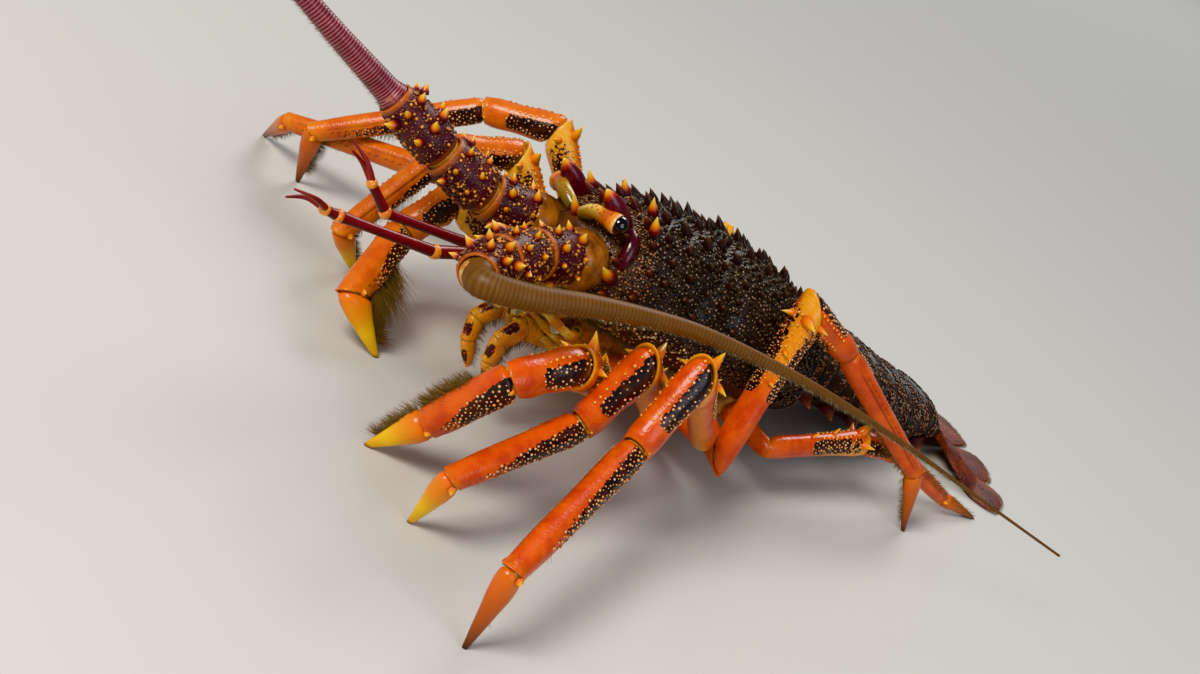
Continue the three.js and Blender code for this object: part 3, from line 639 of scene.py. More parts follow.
def carapace_spot(along, angle):
    """A point of the smooth shield, from the distance behind the rostrum and the angle."""
    share = along / CARAPACE_LENGTH
    half, top, bottom = (between_rows(CARAPACE_ROWS, share) * CARAPACE_HALF_WIDTH).T
    middle = bottom + WIDEST_LEVEL * (top - bottom)
    cosine = np.cos(angle)
    reach = np.where(cosine > 0, top - middle, middle - bottom)
    neck = NECK_GROOVE["place"] - NECK_GROOVE["sweep"] * (1 - cosine) / 2 * 1.6
    dip = NECK_GROOVE["depth"] * bell(along - neck, NECK_GROOVE["width"])
    degrees = np.abs(np.degrees(angle))
    behind = eased((along - FURROW["start"]) / 10)
    dip = dip + behind * FURROW["depth"] * bell(degrees - FURROW["angle"], FURROW["width"])
    dip = dip + HEM["depth"] * bell(along - HEM["place"], HEM["width"])
    shrink = 1 - dip * eased((110 - degrees) / 20) / CARAPACE_HALF_WIDTH
    lift = signed_power(cosine, np.where(cosine > 0, 0.92, 0.6)) * shrink
    return from_body(np.stack([half * signed_power(np.sin(angle), 0.9) * shrink, along,
                               middle + reach * lift], axis=1))


def capped(spot, first, last, bulge_front=1.0, bulge_back=1.0):
    """A skin's place function with a rounded cap at each end."""
    ahead = unit(from_body_direction((0, 1, 0)))

    def place(along, angle):
        body = np.clip((along - CAP_SHARE) / (1 - 2 * CAP_SHARE), 0, 1)
        distance = first + (last - first) * body
        centre = sum(spot(distance, np.full_like(angle, edge)) / 2 for edge in (math.pi / 2, -math.pi / 2))
        front = np.clip(1 - along / CAP_SHARE, 0, 1) * math.pi / 2
        back = np.clip(1 - (1 - along) / CAP_SHARE, 0, 1) * math.pi / 2
        push = np.sin(back) * bulge_back - np.sin(front) * bulge_front
        shrink = np.where((along <= 0) | (along >= 1), 0, np.cos(front) * np.cos(back))
        return centre + (spot(distance, angle) - centre) * shrink[:, None] + ahead * push[:, None]

    return place


def front_glow(along, angle):
    """The front of the shield is lighter, in streaks."""
    return 0.85 * bell(along, 0.13) * (0.7 + 0.3 * np.cos(angle * 5))


carapace = skin("carapace", 170, 160, capped(carapace_spot, FRONT_EDGE, CARAPACE_LENGTH, 1.2),
                {"pale": front_glow})
dress(carapace, BACK_SHELL, "shell", "carapace")
print("carapace corners:", len(carapace.data.vertices))

# %% [markdown]
# The large spines stand in staggered rows, leaning forward, longer in front and near the middle.
# They are set by the same rule and the same seeded draw as those of the solid. Between them come
# low scales and granules, and in front of each spine a small brush of pale bristles.

# %% Spines, scales and brushes of the back
SPINE_ROWS = 12
SPINE_FIRST_ROW = 10
SPINE_ROW_STEP = 10
SPINE_SPACING = 11.2
SPINE_LOWEST_ANGLE = 98
SPINE_MIDDLE_BAND = 34
SPINE_MIDDLE_GAIN = 1.25
SPINE_LENGTH_FRONT = 4.6
SPINE_LENGTH_LOSS = 1.6
SPINE_LENGTH_SPREAD = 1.2
BRISTLE_WIDTH = 0.07
FORWARD = from_body_direction((0, -1, 0))


def draws(seed):
    """The solid's own repeatable random numbers between 0 and 1."""
    state = seed
    while True:
        state = (state * 1664525 + 1013904223) % 4294967296
        yield state / 4294967296


def half_width(along):
    return between_rows(CARAPACE_ROWS, np.array([along / CARAPACE_LENGTH]))[0, 0] * CARAPACE_HALF_WIDTH


def shell_spine_sites():
    """Distance, angle and length of every large spine of the back."""
    random = draws(SEED)
    sites = []
    for row in range(SPINE_ROWS):
        along = SPINE_FIRST_ROW + row * SPINE_ROW_STEP
        step = math.degrees(SPINE_SPACING / half_width(along))
        count = math.floor(SPINE_LOWEST_ANGLE / step)
        for k in range(-count, count + 1):
            degrees = (k + row % 2 * 0.5) * step + (next(random) - 0.5) * 4
            place = along + (next(random) - 0.5) * 3
            gain = SPINE_MIDDLE_GAIN if abs(degrees) < SPINE_MIDDLE_BAND else 1
            loss = SPINE_LENGTH_LOSS * place / CARAPACE_LENGTH
            length = gain * (SPINE_LENGTH_FRONT - loss + SPINE_LENGTH_SPREAD * next(random))
            sites.append((place, math.radians(degrees), length))
    return np.array(sites)


def apart(first, last, lowest, spacing, others, radius):
    """Jittered sites over the back, a spacing apart and further than the radius from the others."""
    sites = []
    for row, along in enumerate(steps_between(first, last, spacing * 0.87)):
        step = spacing / (half_width(along) * 0.92)
        count = int(math.radians(lowest) / step)
        sites.extend((along, (k + row % 2 * 0.5) * step) for k in range(-count, count + 1))
    sites = np.array(sites)
    sites[:, 0] += rng.uniform(-0.32, 0.32, len(sites)) * spacing
    sites[:, 1] += rng.uniform(-0.32, 0.32, len(sites)) * spacing / CARAPACE_HALF_WIDTH
    flat, rest = (some[:, :2] * (1, CARAPACE_HALF_WIDTH) for some in (sites, others))
    gaps = np.linalg.norm(flat[:, None] - rest[None], axis=2)
    return sites[gaps.min(axis=1) > radius]


def steps_between(first, last, step):
    while first < last:
        yield first
        first += step


def shell_forms(name, form, sites, widths, heights, lean, finish, warm):
    """Copies of a form on the carapace, leaning forward."""
    here, out, _ = facing(carapace_spot, sites[:, 0], sites[:, 1])
    direction = unit(out * (1 - lean) + FORWARD * lean)
    copies(name, form, here, direction, FORWARD, widths, heights, finish, "shell", warm)


def brushes(name, sites, per_site, reach, length, lean):
    """Short bristles round each site of the carapace, mostly in front of it."""
    count = len(sites) * per_site
    origin = np.repeat(sites[:, :2], per_site, axis=0)
    origin[:, 0] += rng.uniform(-1.0, 0.1, count) * reach
    origin[:, 1] += rng.uniform(-0.7, 0.7, count) * reach / CARAPACE_HALF_WIDTH
    here, out, _ = facing(carapace_spot, origin[:, 0], origin[:, 1])
    wild = rng.normal(0, 0.25, (count, 3))
    direction = unit(out * (1 - lean) + FORWARD * lean + wild)
    places = np.stack([origin[:, 0] / CARAPACE_LENGTH, origin[:, 1] / (2 * math.pi) + 0.5], axis=1)
    copies(name, BRISTLE, here, direction, FORWARD, BRISTLE_WIDTH, rng.uniform(0.6, 1.0, count) * length,
           PALE_BRISTLES, "shell", bake=places)


rng = np.random.default_rng(SEED)
large = shell_spine_sites()
small = apart(6, 130, 100, 4.3, large, 3.2)
scales = apart(3, 133, 112, 2.3, np.vstack([large[:, :2], small]), 1.5)
warm_front = np.clip(0.95 - large[:, 0] / 42, 0.1, 0.9) * rng.uniform(0.6, 1.0, len(large))
shell_forms("carapace_spines", SPINE, large, large[:, 2] * 0.38, large[:, 2], 0.42, BACK_SPINES, warm_front)
small_length = rng.uniform(1.2, 2.4, len(small))
warm_front = np.clip(0.5 - small[:, 0] / 70, 0.0, 0.5) * rng.uniform(0.3, 1, len(small))
shell_forms("carapace_spinules", SPINE, small, small_length * 0.42, small_length, 0.45, BACK_SPINES,
            warm_front)
scale_height = rng.uniform(0.25, 0.6, len(scales))
shell_forms("carapace_scales", SCALE, scales, rng.uniform(0.55, 0.95, len(scales)), scale_height,
            0.1, BACK_SPINES, rng.uniform(0, 0.12, len(scales)))
brushes("carapace_brushes", np.vstack([large[:, :2], small]), 6, 2.0, 2.0, 0.6)
print("spines:", len(large), "spinules:", len(small), "scales:", len(scales))

# %% [markdown]
# The front of the shield is the warmest part of the back. It is packed with small pink and cream
# granules, and its lower edge carries a row of pale granules with a fringe of hair.

# %% Front and lower edge of the shield
grains = apart(-0.5, 24, 100, 1.35, large, 1.6)
size = 0.26 + 0.45 * rng.uniform(0, 1, len(grains)) ** 2
shell_forms("carapace_front_granules", GRANULE, grains, size, size * 0.9, 0.1, STEM_GRAINS,
            0.6 * rng.uniform(0, 1, len(grains)) ** 4)
edge_along = np.tile(np.arange(6, 60, 1.5), 6)
count = len(edge_along)
edge_angle = np.radians(rng.uniform(104, 136, count)) * np.repeat((1, -1), count // 2)
edge_sites = np.stack([edge_along + rng.uniform(-0.5, 0.5, count), edge_angle], axis=1)
size = rng.uniform(0.4, 0.8, count)
shell_forms("carapace_edge_granules", GRANULE, edge_sites, size, size * 0.8, 0.1, GRANULES, 0.0)
brushes("carapace_edge_hair", edge_sites[edge_sites[:, 0] < 34], 7, 2.0, 3.4, 0.75)
fringe_along = np.arange(10, 126, 0.8)
fringe_sites = np.stack([np.tile(fringe_along, 2), np.repeat((2.5, -2.5), len(fringe_along))], axis=1)
brushes("carapace_lower_fringe", fringe_sites, 9, 1.6, 5.0, 0.3)

# %% [markdown]
# Two stout horns guard the eyes. They are dark red and smooth, flattened from the sides, and end
# in orange and yellow. A small spine stands between them, and a few long spines arm the front
# edge.

# %% Horns and front spines
HORN_PATH = [[15, 14, -1], [15.5, 8, 5], [16, 0, 11], [16, -7, 15.5]]
HORN_RADII = [[0, 5.6], [0.4, 5.4], [0.7, 4.3], [0.86, 2.5], [0.95, 1.2], [1, 0.35]]
RIM_PATH = [[17, 13, 4], [20, 12.8, 3.6], [23.5, 12, 0.5], [25.5, 11, -5], [26, 10, -10]]
RIM_RADII = [[0, 2.4], [0.3, 3.2], [0.7, 2.9], [1, 1.6]]
FRONT_SPINES = [
    [(0, 1, -1), (0, -0.8, 0.6), 9, 2.4],
    [(26, 9, -14), (0.35, -0.9, 0.2), 9, 3],
    [(23, 20, 9), (0.25, -0.7, 0.65), 7, 2.6],
    [(10, 26, 14), (0.1, -0.7, 0.7), 6.5, 2.4],
]


def smooth_path(points, count):
    """Evenly spaced points and headings along a smooth curve through the given points."""
    points = np.asarray(points, dtype=float)
    gaps = np.sqrt(np.linalg.norm(np.diff(points, axis=0), axis=1))
    keys = np.concatenate([[0], np.cumsum(gaps)])
    fine = between_rows(np.column_stack([keys, points]), np.linspace(0, keys[-1], 800))
    travel = np.concatenate([[0], np.cumsum(np.linalg.norm(np.diff(fine, axis=0), axis=1))])
    even = np.linspace(0, travel[-1], count)
    spots = np.stack([np.interp(even, travel, fine[:, i]) for i in range(3)], axis=1)
    return spots, unit(np.gradient(spots, axis=0)), travel[-1]


def carried_frames(headings):
    """Sideways and upright directions carried along the headings without twist."""
    across = unit(np.cross(UP, headings[0]))
    sides = [across]
    for before, after in zip(headings, headings[1:]):
        turn = Vector(before).rotation_difference(Vector(after))
        across = unit(np.array(turn @ Vector(across)))
        sides.append(across)
    sides = np.array(sides)
    return sides, np.cross(headings, sides)


def tube_place(spots, side, upright, row_of, radius_at, flatten=1.0):
    """A skin's place function for a tube round the spots. Its first and last ring are closed."""

    def place(along, angle):
        row = row_of(along)
        radius = np.where((along <= 0) | (along >= 1), 0, radius_at(along))
        wide = (np.sin(angle) * radius * flatten)[:, None] * side[row]
        deep = (np.cos(angle) * radius)[:, None] * upright[row]
        return spots[row] + wide + deep

    return place


def swept(name, points, rows, sides, radius_at, flatten=1.0, marks=None):
    """A closed tube along a smooth path. radius_at(share) is in millimetres."""
    spots, headings, _ = smooth_path(points, rows + 1)
    side, upright = carried_frames(headings)
    place = tube_place(spots, side, upright, lambda along: np.rint(along * rows).astype(int), radius_at,
                       flatten)
    return skin(name, rows, sides, place, marks)


for label, side in SIDES.items():
    for name, path, radii, rows, sides, flatten, tip in (
        ("horn", HORN_PATH, HORN_RADII, 40, 24, 0.75, 1.0),
        ("eye_rim", RIM_PATH, RIM_RADII, 36, 22, 1.0, 0.3),
    ):
        marks = {"tip": lambda along, angle: along * tip, "warm": lambda along, angle: np.ones_like(along)}
        piece = swept(f"{name}_{label}", from_body(path, side), rows, sides, girths(radii), flatten, marks)
        dress(piece, HORN, "shell")
front = [(side, *row) for row in FRONT_SPINES for side in ((1,) if row[0][0] == 0 else (1, -1))]
copies("front_spines", SPINE, [from_body(row[1], row[0]) for row in front],
       [from_body_direction(row[2], row[0]) for row in front], UP,
       [row[4] for row in front], [row[3] for row in front], STEM_SPINES, "shell", 1.0)

# %% [markdown]
# Each eye is a black cornea on a stalk that starts at the middle of the head and reaches out
# under the horn. The stalk is mottled olive, orange and red with a yellow upper edge, which
# also carries a painted highlight, and it widens to a bright rim that holds the cornea like a
# cup. The stalk is a rolled grid, and the cornea is a sphere whose poles lie on the stalk's
# axis, flattened a little along it.

# %% Eyes
EYE_PLACE = (22, 2, 5.5)
EYE_RADIUS = 3.9
EYE_FLATNESS = 0.85
EYE_LIFT = 1.1
STALK_ROOT = (3, -1, 1.2)
STALK_BOW = (0, -1.6, 1.0)
STALK_ROWS = [[0, 2.4], [0.2, 2.9], [0.5, 3.0], [0.75, 3.5], [0.9, 4.1], [0.97, 4.1], [1, 3.6]]
STALK_BAND = 35


def stalk_yellow_and_highlight(along, angle):
    """The yellow upper edge of the stalk, which also carries a painted highlight, and which ends before the
    rim.
    """
    return bell(np.degrees(angle) + STALK_BAND, 40) * eased((0.72 - along) / 0.15)


for label, side in SIDES.items():
    centre = from_body(EYE_PLACE, side)
    root = from_body(STALK_ROOT, side)
    axis = unit(centre - root)
    bend = root * 0.5 + centre * 0.5 + from_body_direction(STALK_BOW) * math.hypot(*STALK_BOW)
    # The mark `warm` on the stalk is its yellow upper edge together with a painted highlight.
    stalk = swept(f"eye_stalk_{label}", [root, bend, centre + axis * 0.6], 44, 32, girths(STALK_ROWS),
                  marks={"tip": lambda along, angle: along, "warm": stalk_yellow_and_highlight})
    dress(stalk, EYE_STALK, "eye")
    turn = Vector(axis).to_track_quat("Z", "Y").to_matrix().to_4x4()
    flat = Matrix.Diagonal((*(np.array((1, 1, EYE_FLATNESS)) * EYE_RADIUS * MM), 1))
    cornea = ball(Matrix.Translation(in_scene(centre + axis * EYE_LIFT)) @ turn @ flat, 40, 28)
    dress(cornea, CORNEA, "eye", f"eye_{label}", name=f"eye_{label}")

# %% [markdown]
# Limbs are chains of stiff lengths with soft joints. One length has a narrow neck that starts
# inside the cup of the length before, swells to its full girth, and ends in a rim that turns
# inward to a cup of its own. The ends are slanted to the joint's own plane, so that the rims
# meet cleanly when the limb is bent. A membrane, which is a ball set across the limb, fills each
# joint.

# %% The lengths of a limb


def bones(points, flat_end=False):
    """The lengths of a limb, with their directions and the planes in which neighbours meet."""
    headings = unit(np.diff(points, axis=0))
    planes = [headings[0], *(unit(before + after) for before, after in zip(headings, headings[1:])),
              -np.array(UP) if flat_end else headings[-1]]
    sides, uprights = carried_frames(headings)
    return [
        SimpleNamespace(start=start, end=end, length=float(np.linalg.norm(end - start)), heading=headings[i],
                        side=sides[i], upright=uprights[i], planes=planes[i:i + 2])
        for i, (start, end) in enumerate(zip(points, points[1:]))
    ]


def around(bone, angle):
    """The direction that looks out of a length at an angle."""
    return bone.side * math.sin(angle) + bone.upright * math.cos(angle)


def angle_of(direction, bone):
    """The angle round a length at which its skin faces the direction."""
    direction = np.asarray(direction, dtype=float)
    return math.atan2(direction @ bone.side, direction @ bone.upright)


def limb_spot(bone, profile):
    """spot(distance, angle, swell): a point on one length, with its ends slanted."""

    def spot(distance, angle, swell=1.0):
        wide, deep = between_rows(profile, np.clip(distance / bone.length, 0, 1)).T
        offset = (np.sin(angle) * wide * swell)[:, None] * bone.side
        offset = offset + (np.cos(angle) * deep * swell)[:, None] * bone.upright
        slides = []
        for plane, far in zip(bone.planes, (distance, bone.length - distance)):
            slide = -(offset @ plane) / (bone.heading @ plane)
            zone = max(2.5, 2.0 * float(np.abs(slide).max()))
            slides.append(slide * eased(1 - np.clip(far, 0, None) / zone))
        travel = distance + slides[0] + slides[1]
        return bone.start + travel[:, None] * bone.heading + offset

    return spot


def stretched(stations, along):
    """Distances and swellings between the stations of a length."""
    row = along * (len(stations) - 1)
    return [np.interp(row, np.arange(len(stations)), column) for column in np.transpose(stations)]


def limb_length(bone, girth, rows, sides, marks, neck=0.66, cup=0.76, gap=0.5):
    """A closed skin for one length. girth is its half width at the start and at the end."""
    first, last = girth
    edge = bone.length - gap
    stations = [
        (-0.45 * first, 0.0), (-0.45 * first, neck * 0.9), (-0.1 * first, neck), (gap * 0.6, neck * 1.04),
        (gap * 0.6 + 0.10 * first, 0.90), (gap + 0.3 * first, 0.985),
        *((distance, 1.0) for distance in np.linspace(gap + 0.55 * first, edge - 0.3 * last, rows)),
        (edge - 0.12 * last, 1.03), (edge, 1.035), (edge + 0.03 * last, 1.0), (edge, 0.93),
        (edge - 0.10 * last, 0.87), (edge - 0.45 * last, cup), (edge - 0.45 * last, 0.0),
    ]

    def on_length(mark):
        return lambda along, angle: mark(stretched(stations, along)[0] / bone.length, angle)

    def place(along, angle):
        distance, swell = stretched(stations, along)
        return bone.spot(distance, angle, swell)

    drawn = {name: on_length(mark) for name, mark in marks.items()}
    return skin("length", len(stations) - 1, sides, place, drawn)


def joint_ball(bone, wide, deep):
    """The membrane at the end of a length."""
    turn = Matrix(np.column_stack([bone.side * wide, bone.upright * deep,
                                   bone.heading * min(wide, deep)]).tolist())
    return ball(Matrix.Translation(in_scene(bone.end)) @ (turn * MM).to_4x4(), 20, 14)


def chain(limb, profiles, marks, rows, sides, girth, membrane, free_end=False, **shape):
    """The skins and membranes of a limb. Each bone learns the spots of its skin.

    girth: the column of a profile that measures it. membrane: two columns and a share of them.
    """
    skins = []
    membranes = []
    for bone, profile, mark in zip(limb, profiles, marks):
        bone.spot = limb_spot(bone, profile)
        skins.append(limb_length(bone, (profile[0][girth], profile[-1][girth]), rows, sides, mark, **shape))
        if bone is not limb[-1] or not free_end:
            wide, deep, share = membrane
            membranes.append(joint_ball(bone, profile[-1][wide] * share, profile[-1][deep] * share))
    return skins, membranes


# %% [markdown]
# The stems of the large feelers are the heaviest limbs of the head: three lengths each, dark
# purple-brown, edged with stout spines that end in yellow. A yellowish membrane shows between
# the lengths, and the end of each length is a smooth orange edge. At its root the stem sits in a
# broad, smooth socket, which is a short tube with a rolled lip, thicker on its outer side.

# %% Feeler stems
STEM_JOINTS = {
    "left": [(15, 2, -13), (22, -27, -18), (32, -48, -23), (46, -64, -28)],
    "right": [(-15, 2, -13), (-22, -27, -12), (-28, -50, -5), (-36, -76, 5)],
}
STEM_PROFILES = [
    [[0, 9.5, 10], [0.4, 10.5, 10.5], [1, 10, 9.5]],
    [[0, 10, 9.5], [0.15, 10.5, 10], [0.8, 10, 9.6], [1, 9, 8.6]],
    [[0, 9, 8.6], [0.15, 9.8, 9.2], [0.75, 9, 8.4], [1, 7.4, 7]],
]
STEM_SPINE_RINGS = [0.4, 0.78]
STEM_SPINE_COUNT = 6
STEM_SPINE_STEP = 42
STEM_SPINE_FIRST_ANGLE = -110
STEM_SPINE_LENGTH = 4
STEM_SPINE_LENGTH_SPREAD = 3
STEM_SPINE_WIDTH = 0.33
STEM_SPINE_GAIN = 0.66
STEM_GRANULES = 900
SOCKET_ROWS = [[0, 9.6], [0.2, 11.6], [0.5, 12.3], [0.8, 11.7], [0.93, 10.9], [1, 10.2]]
SOCKET_LENGTH = 15


def stem_edge(share, angle):
    """1 on the smooth orange ends of a length."""
    return 0.9 * eased((share - 0.9) / 0.06) + 0.5 * eased((0.09 - share) / 0.05)


def stem_spines(limb):
    """Roots, directions and lengths of the spines, in two rings on each length, as in the solids."""
    random = draws(SEED + 1)
    for bone, profile in zip(limb, STEM_PROFILES):
        half = between_rows(profile, np.array([0.5]))[0, 0]
        for ring, share in enumerate(STEM_SPINE_RINGS):
            for k in range(STEM_SPINE_COUNT):
                turn = STEM_SPINE_FIRST_ANGLE + (k + ring * 0.5) * STEM_SPINE_STEP
                out = around(bone, math.radians(turn + (next(random) - 0.5) * 10))
                root = bone.start + bone.heading * bone.length * share + out * half * 0.95
                long = STEM_SPINE_LENGTH + STEM_SPINE_LENGTH_SPREAD * next(random)
                yield root, out + bone.heading * 0.7, long


limbs = {}
for label, side in SIDES.items():
    limb = limbs[label] = bones(from_body(STEM_JOINTS[label]))
    root = limb[0].start
    ahead = limb[0].heading
    outer = limb[0].side * side
    path = [root - ahead * 3 + outer, root + ahead * 4 + outer * 0.6, root + ahead * (SOCKET_LENGTH - 3)]
    dress(swept(f"antenna_socket_{label}", path, 30, 60, girths(SOCKET_ROWS)), SOCKET_EDGE, "shell")
    lengths, membranes = chain(limb, STEM_PROFILES, [{"pale": stem_edge}] * 3, 36, 64, 1, (1, 2, 0.86),
                               neck=0.8, cup=0.82)
    name = f"antenna_stem_{label}"
    dress(lengths, STEM_SHELL, "shell", name, name=name)
    dress(membranes, MEMBRANE, "shell", name=f"antenna_stem_joints_{label}")
    roots, ways, long = (np.array(column) for column in zip(*stem_spines(limb)))
    copies(f"antenna_stem_spines_{label}", SPINE, roots, ways, ways[:, [1, 2, 0]], long * STEM_SPINE_WIDTH,
           long * STEM_SPINE_GAIN, STEM_SPINES, "shell", 1.0)
    here, out, ahead = stacked([
        facing(bone.spot, rng.uniform(0.1, 0.9, STEM_GRANULES) * bone.length,
               rng.uniform(-math.pi, math.pi, STEM_GRANULES)) for bone in limb
    ])
    size = 0.2 + 0.62 * rng.uniform(0, 1, len(here)) ** 3
    copies(f"antenna_stem_granules_{label}", GRANULE, here, out, ahead, size, size * 0.8, STEM_GRAINS,
           "shell", (size > 0.62) * 0.9)

# %% [markdown]
# The whip of a feeler is built of hundreds of short rings. Each ring is a swelling of the tube,
# about two millimetres long near the stem and shorter towards the tip. The mark `ring` follows
# the swelling, so that the finish can paint a highlight colour on each crest. The whips stay in
# two lengths each, as the solids are.

# %% Feeler whips
WHIP_POINTS = {
    "left": [(54, -67, -28), (62, -54, -25), (67.5, -31, -18.2), (71, -7, -13.5), (75, 17, -10.3),
             (87, 64.7, -9.5), (98, 120, -14), (110, 180, -22), (126, 240, -30)],
    "right": [(-43, -103, 15), (-50, -130, 25), (-66, -190, 38), (-90, -255, 45), (-122, -320, 42)],
}
WHIP_BASE_RADIUS = 5.6
WHIP_TIP_RADIUS = 0.6
WHIP_TAPER = 2
WHIP_PARTING = 0.45
WHIP_SIDES = {"base": 24, "tip": 16}
RINGS = 190
ROWS_PER_RING = 5
RING_DEPTH = {"left": 0.014, "right": 0.08}
WHIP_BRISTLES = 1500

for label, limb in limbs.items():
    path = np.vstack([limb[2].end - limb[2].heading * 1.5, from_body(WHIP_POINTS[label])])
    rows = RINGS * ROWS_PER_RING
    spots, ways, length = smooth_path(path, rows + 1)
    side, upright = carried_frames(ways)
    shares = np.linspace(0, 1, rows + 1)
    crest = np.abs(np.sin(math.pi * (RINGS * shares ** 0.92))) ** 0.7
    radius = WHIP_TIP_RADIUS + (WHIP_BASE_RADIUS - WHIP_TIP_RADIUS) * (1 - shares) ** WHIP_TAPER
    radius = radius * (1.01 + RING_DEPTH[label] * (crest - 1)) + 0.9 * bell(shares * length - 2, 2.2)
    cut = round(WHIP_PARTING * rows)
    for part, first, count in (("base", 0, cut), ("tip", cut, rows - cut)):

        def row_of(along):
            return first + np.rint(along * count).astype(int)

        name = f"antenna_whip_{part}_{label}"
        place = tube_place(spots, side, upright, row_of, lambda along: radius[row_of(along)])
        ring = {"ring": lambda along, angle: crest[row_of(along)]}
        dress(skin(name, count, WHIP_SIDES[part], place, ring), WHIPS[label], "feeler", name)
    print("whip", label, round(length), "mm")
    picked = rng.integers(2, int(len(spots) * 0.75), WHIP_BRISTLES)
    angle = math.pi + rng.normal(0, 0.5, WHIP_BRISTLES)
    out = np.sin(angle)[:, None] * side[picked] + np.cos(angle)[:, None] * upright[picked]
    copies(f"antenna_whip_fringe_{label}", BRISTLE, spots[picked] + out * radius[picked, None] * 0.95,
           unit(out + ways[picked] * 0.9), ways[picked], 0.06, rng.uniform(1.0, 2.2, WHIP_BRISTLES),
           PALE_BRISTLES, "feeler", bake=np.stack([picked / len(spots), angle / (4 * math.pi)], axis=1))

# %% [markdown]
# The two small feelers between the stems are thin, dark red rods with orange joints, and each
# ends in two short threads. Each rod is painted lighter on top and darker underneath, as painted
# light and shade.

# %% Small feelers
ANTENNULE_JOINTS = {
    "left": [(3, 6, -17), (5, -54.5, -35), (5, -98, -36), (6, -104.5, -35.5)],
    "right": [(-3, 6, -17), (-5, -29, -29), (-8, -73, -31.2), (-9, -83.3, -23.5)],
}
THREAD_TIPS = {
    "left": [(10, -121, -32), (4, -119, -37)],
    "right": [(-14, -97, -12), (-8, -98, -15)],
}
ANTENNULE_PROFILES = [
    [[0, 1.9, 2.2], [0.4, 2.2, 2.4], [1, 2.6, 2.6]],
    [[0, 2.4, 2.4], [0.9, 2.1, 2.1], [1, 2.3, 2.3]],
    [[0, 2.2, 2.2], [0.9, 1.9, 1.9], [1, 2.0, 2.0]],
]
THREAD_RINGS = 30
# On the rods the mark `ring` holds no ring: it is painted light on top and painted shade underneath.
ROD_PAINTED_TOP_LIGHT = {"ring": lambda share, angle: 0.35 + 0.3 * np.cos(angle)}


def thread_ring(along, angle=None):
    return np.abs(np.sin(along * THREAD_RINGS * math.pi))


for label in SIDES:
    limb = bones(from_body(ANTENNULE_JOINTS[label]))
    lengths, membranes = chain(limb, ANTENNULE_PROFILES, [ROD_PAINTED_TOP_LIGHT] * 3, 20, 20, 1, (1, 1, 1.12))
    root = limb[2].end - limb[2].heading * 1.5
    for tip, bow in zip(THREAD_TIPS[label], (2, -2)):
        end = from_body(tip)
        middle = (root + end) / 2 + from_body_direction((bow, 0, 1.5))
        lengths.append(swept("thread", [root, middle, end], 90, 12,
                             lambda along: (1.5 - 1.1 * along) * (0.92 + 0.1 * thread_ring(along)),
                             marks={"ring": thread_ring}))
    name = f"antennule_{label}"
    dress(lengths, THREAD, "feeler", name, name=name)
    dress(membranes, EYE_RIM, "feeler", name=f"antennule_joints_{label}")

# %% [markdown]
# The walking legs. Every leg hangs from a root beside the breast plate, and a table gives the
# heading and the lift of each length, as in the solids. The last length, the claw, always
# reaches down to the floor. Hip and merus make the upper leg, carpus and propodus the lower
# leg, and the claw is the foot.

# %% Where the legs stand
LEG_PAIRS = [
    {"root": (11, 50, -50), "lengths": (26, 59, 28, 40, 28), "half": 8.0},
    {"root": (15, 64, -52), "lengths": (28, 67, 31, 58, 29), "half": 7.3},
    {"root": (19, 78, -52), "lengths": (30, 77, 35, 78, 33), "half": 7.2},
    {"root": (23, 93, -50), "lengths": (29, 72, 34, 80, 34), "half": 6.8},
    {"root": (26, 107, -46), "lengths": (25, 58, 28, 51, 26), "half": 5.8},
]
LEG_POSES = {
    "left": [
        [(52, 7), (27, 28), (7, -13), (-57, -61), (-47, 0)],
        [(73, 6), (25, 38), (0, -67), (13, -17), (-85, 0)],
        [(89, 6), (26, 40), (25, -54), (32, -14), (35, 0)],
        [(84, -8), (222, 71), (170, -27), (158, -34), (151, 0)],
        [(114, -6), (179, 7), (176, -8), (172, -25), (165, 0)],
    ],
    "right": [
        [(53, 7), (34, 29), (6, -53), (-44, -26), (-140, 0)],
        [(68, 15), (54, 41), (3, -7), (-3, -55), (165, 0)],
        [(82, 18), (62, 46), (44, -15), (28, -34), (130, 0)],
        [(98, 9), (40, 17), (23, 1), (52, -15), (99, 0)],
        [(128, 7), (138, 40), (138, -30), (139, -36), (140, 0)],
    ],
}
LEG_PROFILES = {
    "hip": [[0, 0.78, 0.95], [0.3, 0.76, 0.9], [0.7, 0.74, 0.82], [1, 0.7, 0.76]],
    "merus": [[0, 0.7, 0.76], [0.06, 0.78, 0.86], [0.4, 0.78, 0.92], [0.75, 0.86, 1],
              [0.94, 0.98, 1.08], [1, 0.9, 0.98]],
    "carpus": [[0, 0.9, 0.98], [0.14, 0.95, 1.02], [0.55, 0.85, 0.92], [0.9, 0.86, 0.92], [1, 0.76, 0.8]],
    "propodus": [[0, 0.76, 0.8], [0.08, 0.8, 0.84], [0.45, 0.76, 0.78], [0.85, 0.7, 0.72], [1, 0.6, 0.64]],
    "dactyl": [[0, 0.56, 0.6], [0.12, 0.6, 0.64], [0.5, 0.42, 0.46], [0.85, 0.22, 0.25], [1, 0.14, 0.14]],
}
# The first pair of legs has a thicker shank and a heavy claw: gains at the start and the end
STOUTER = {"propodus": (1.04, 1.2), "dactyl": (1.22, 1.1)}


def leg_points(side, pair, pose):
    """Joints of one leg, from its root down to the floor."""
    points = [from_body(pair["root"], side)]
    for i, (heading, lift) in enumerate(pose):
        length = pair["lengths"][i]
        rise = math.sin(math.radians(lift)) if i < len(pose) - 1 else -points[-1][2] / length
        run = math.sqrt(max(0, 1 - rise * rise))
        turn = math.radians(heading)
        step = np.array((side * run * math.sin(turn), -run * math.cos(turn), rise))
        points.append(points[-1] + step * length)
    return np.array(points)


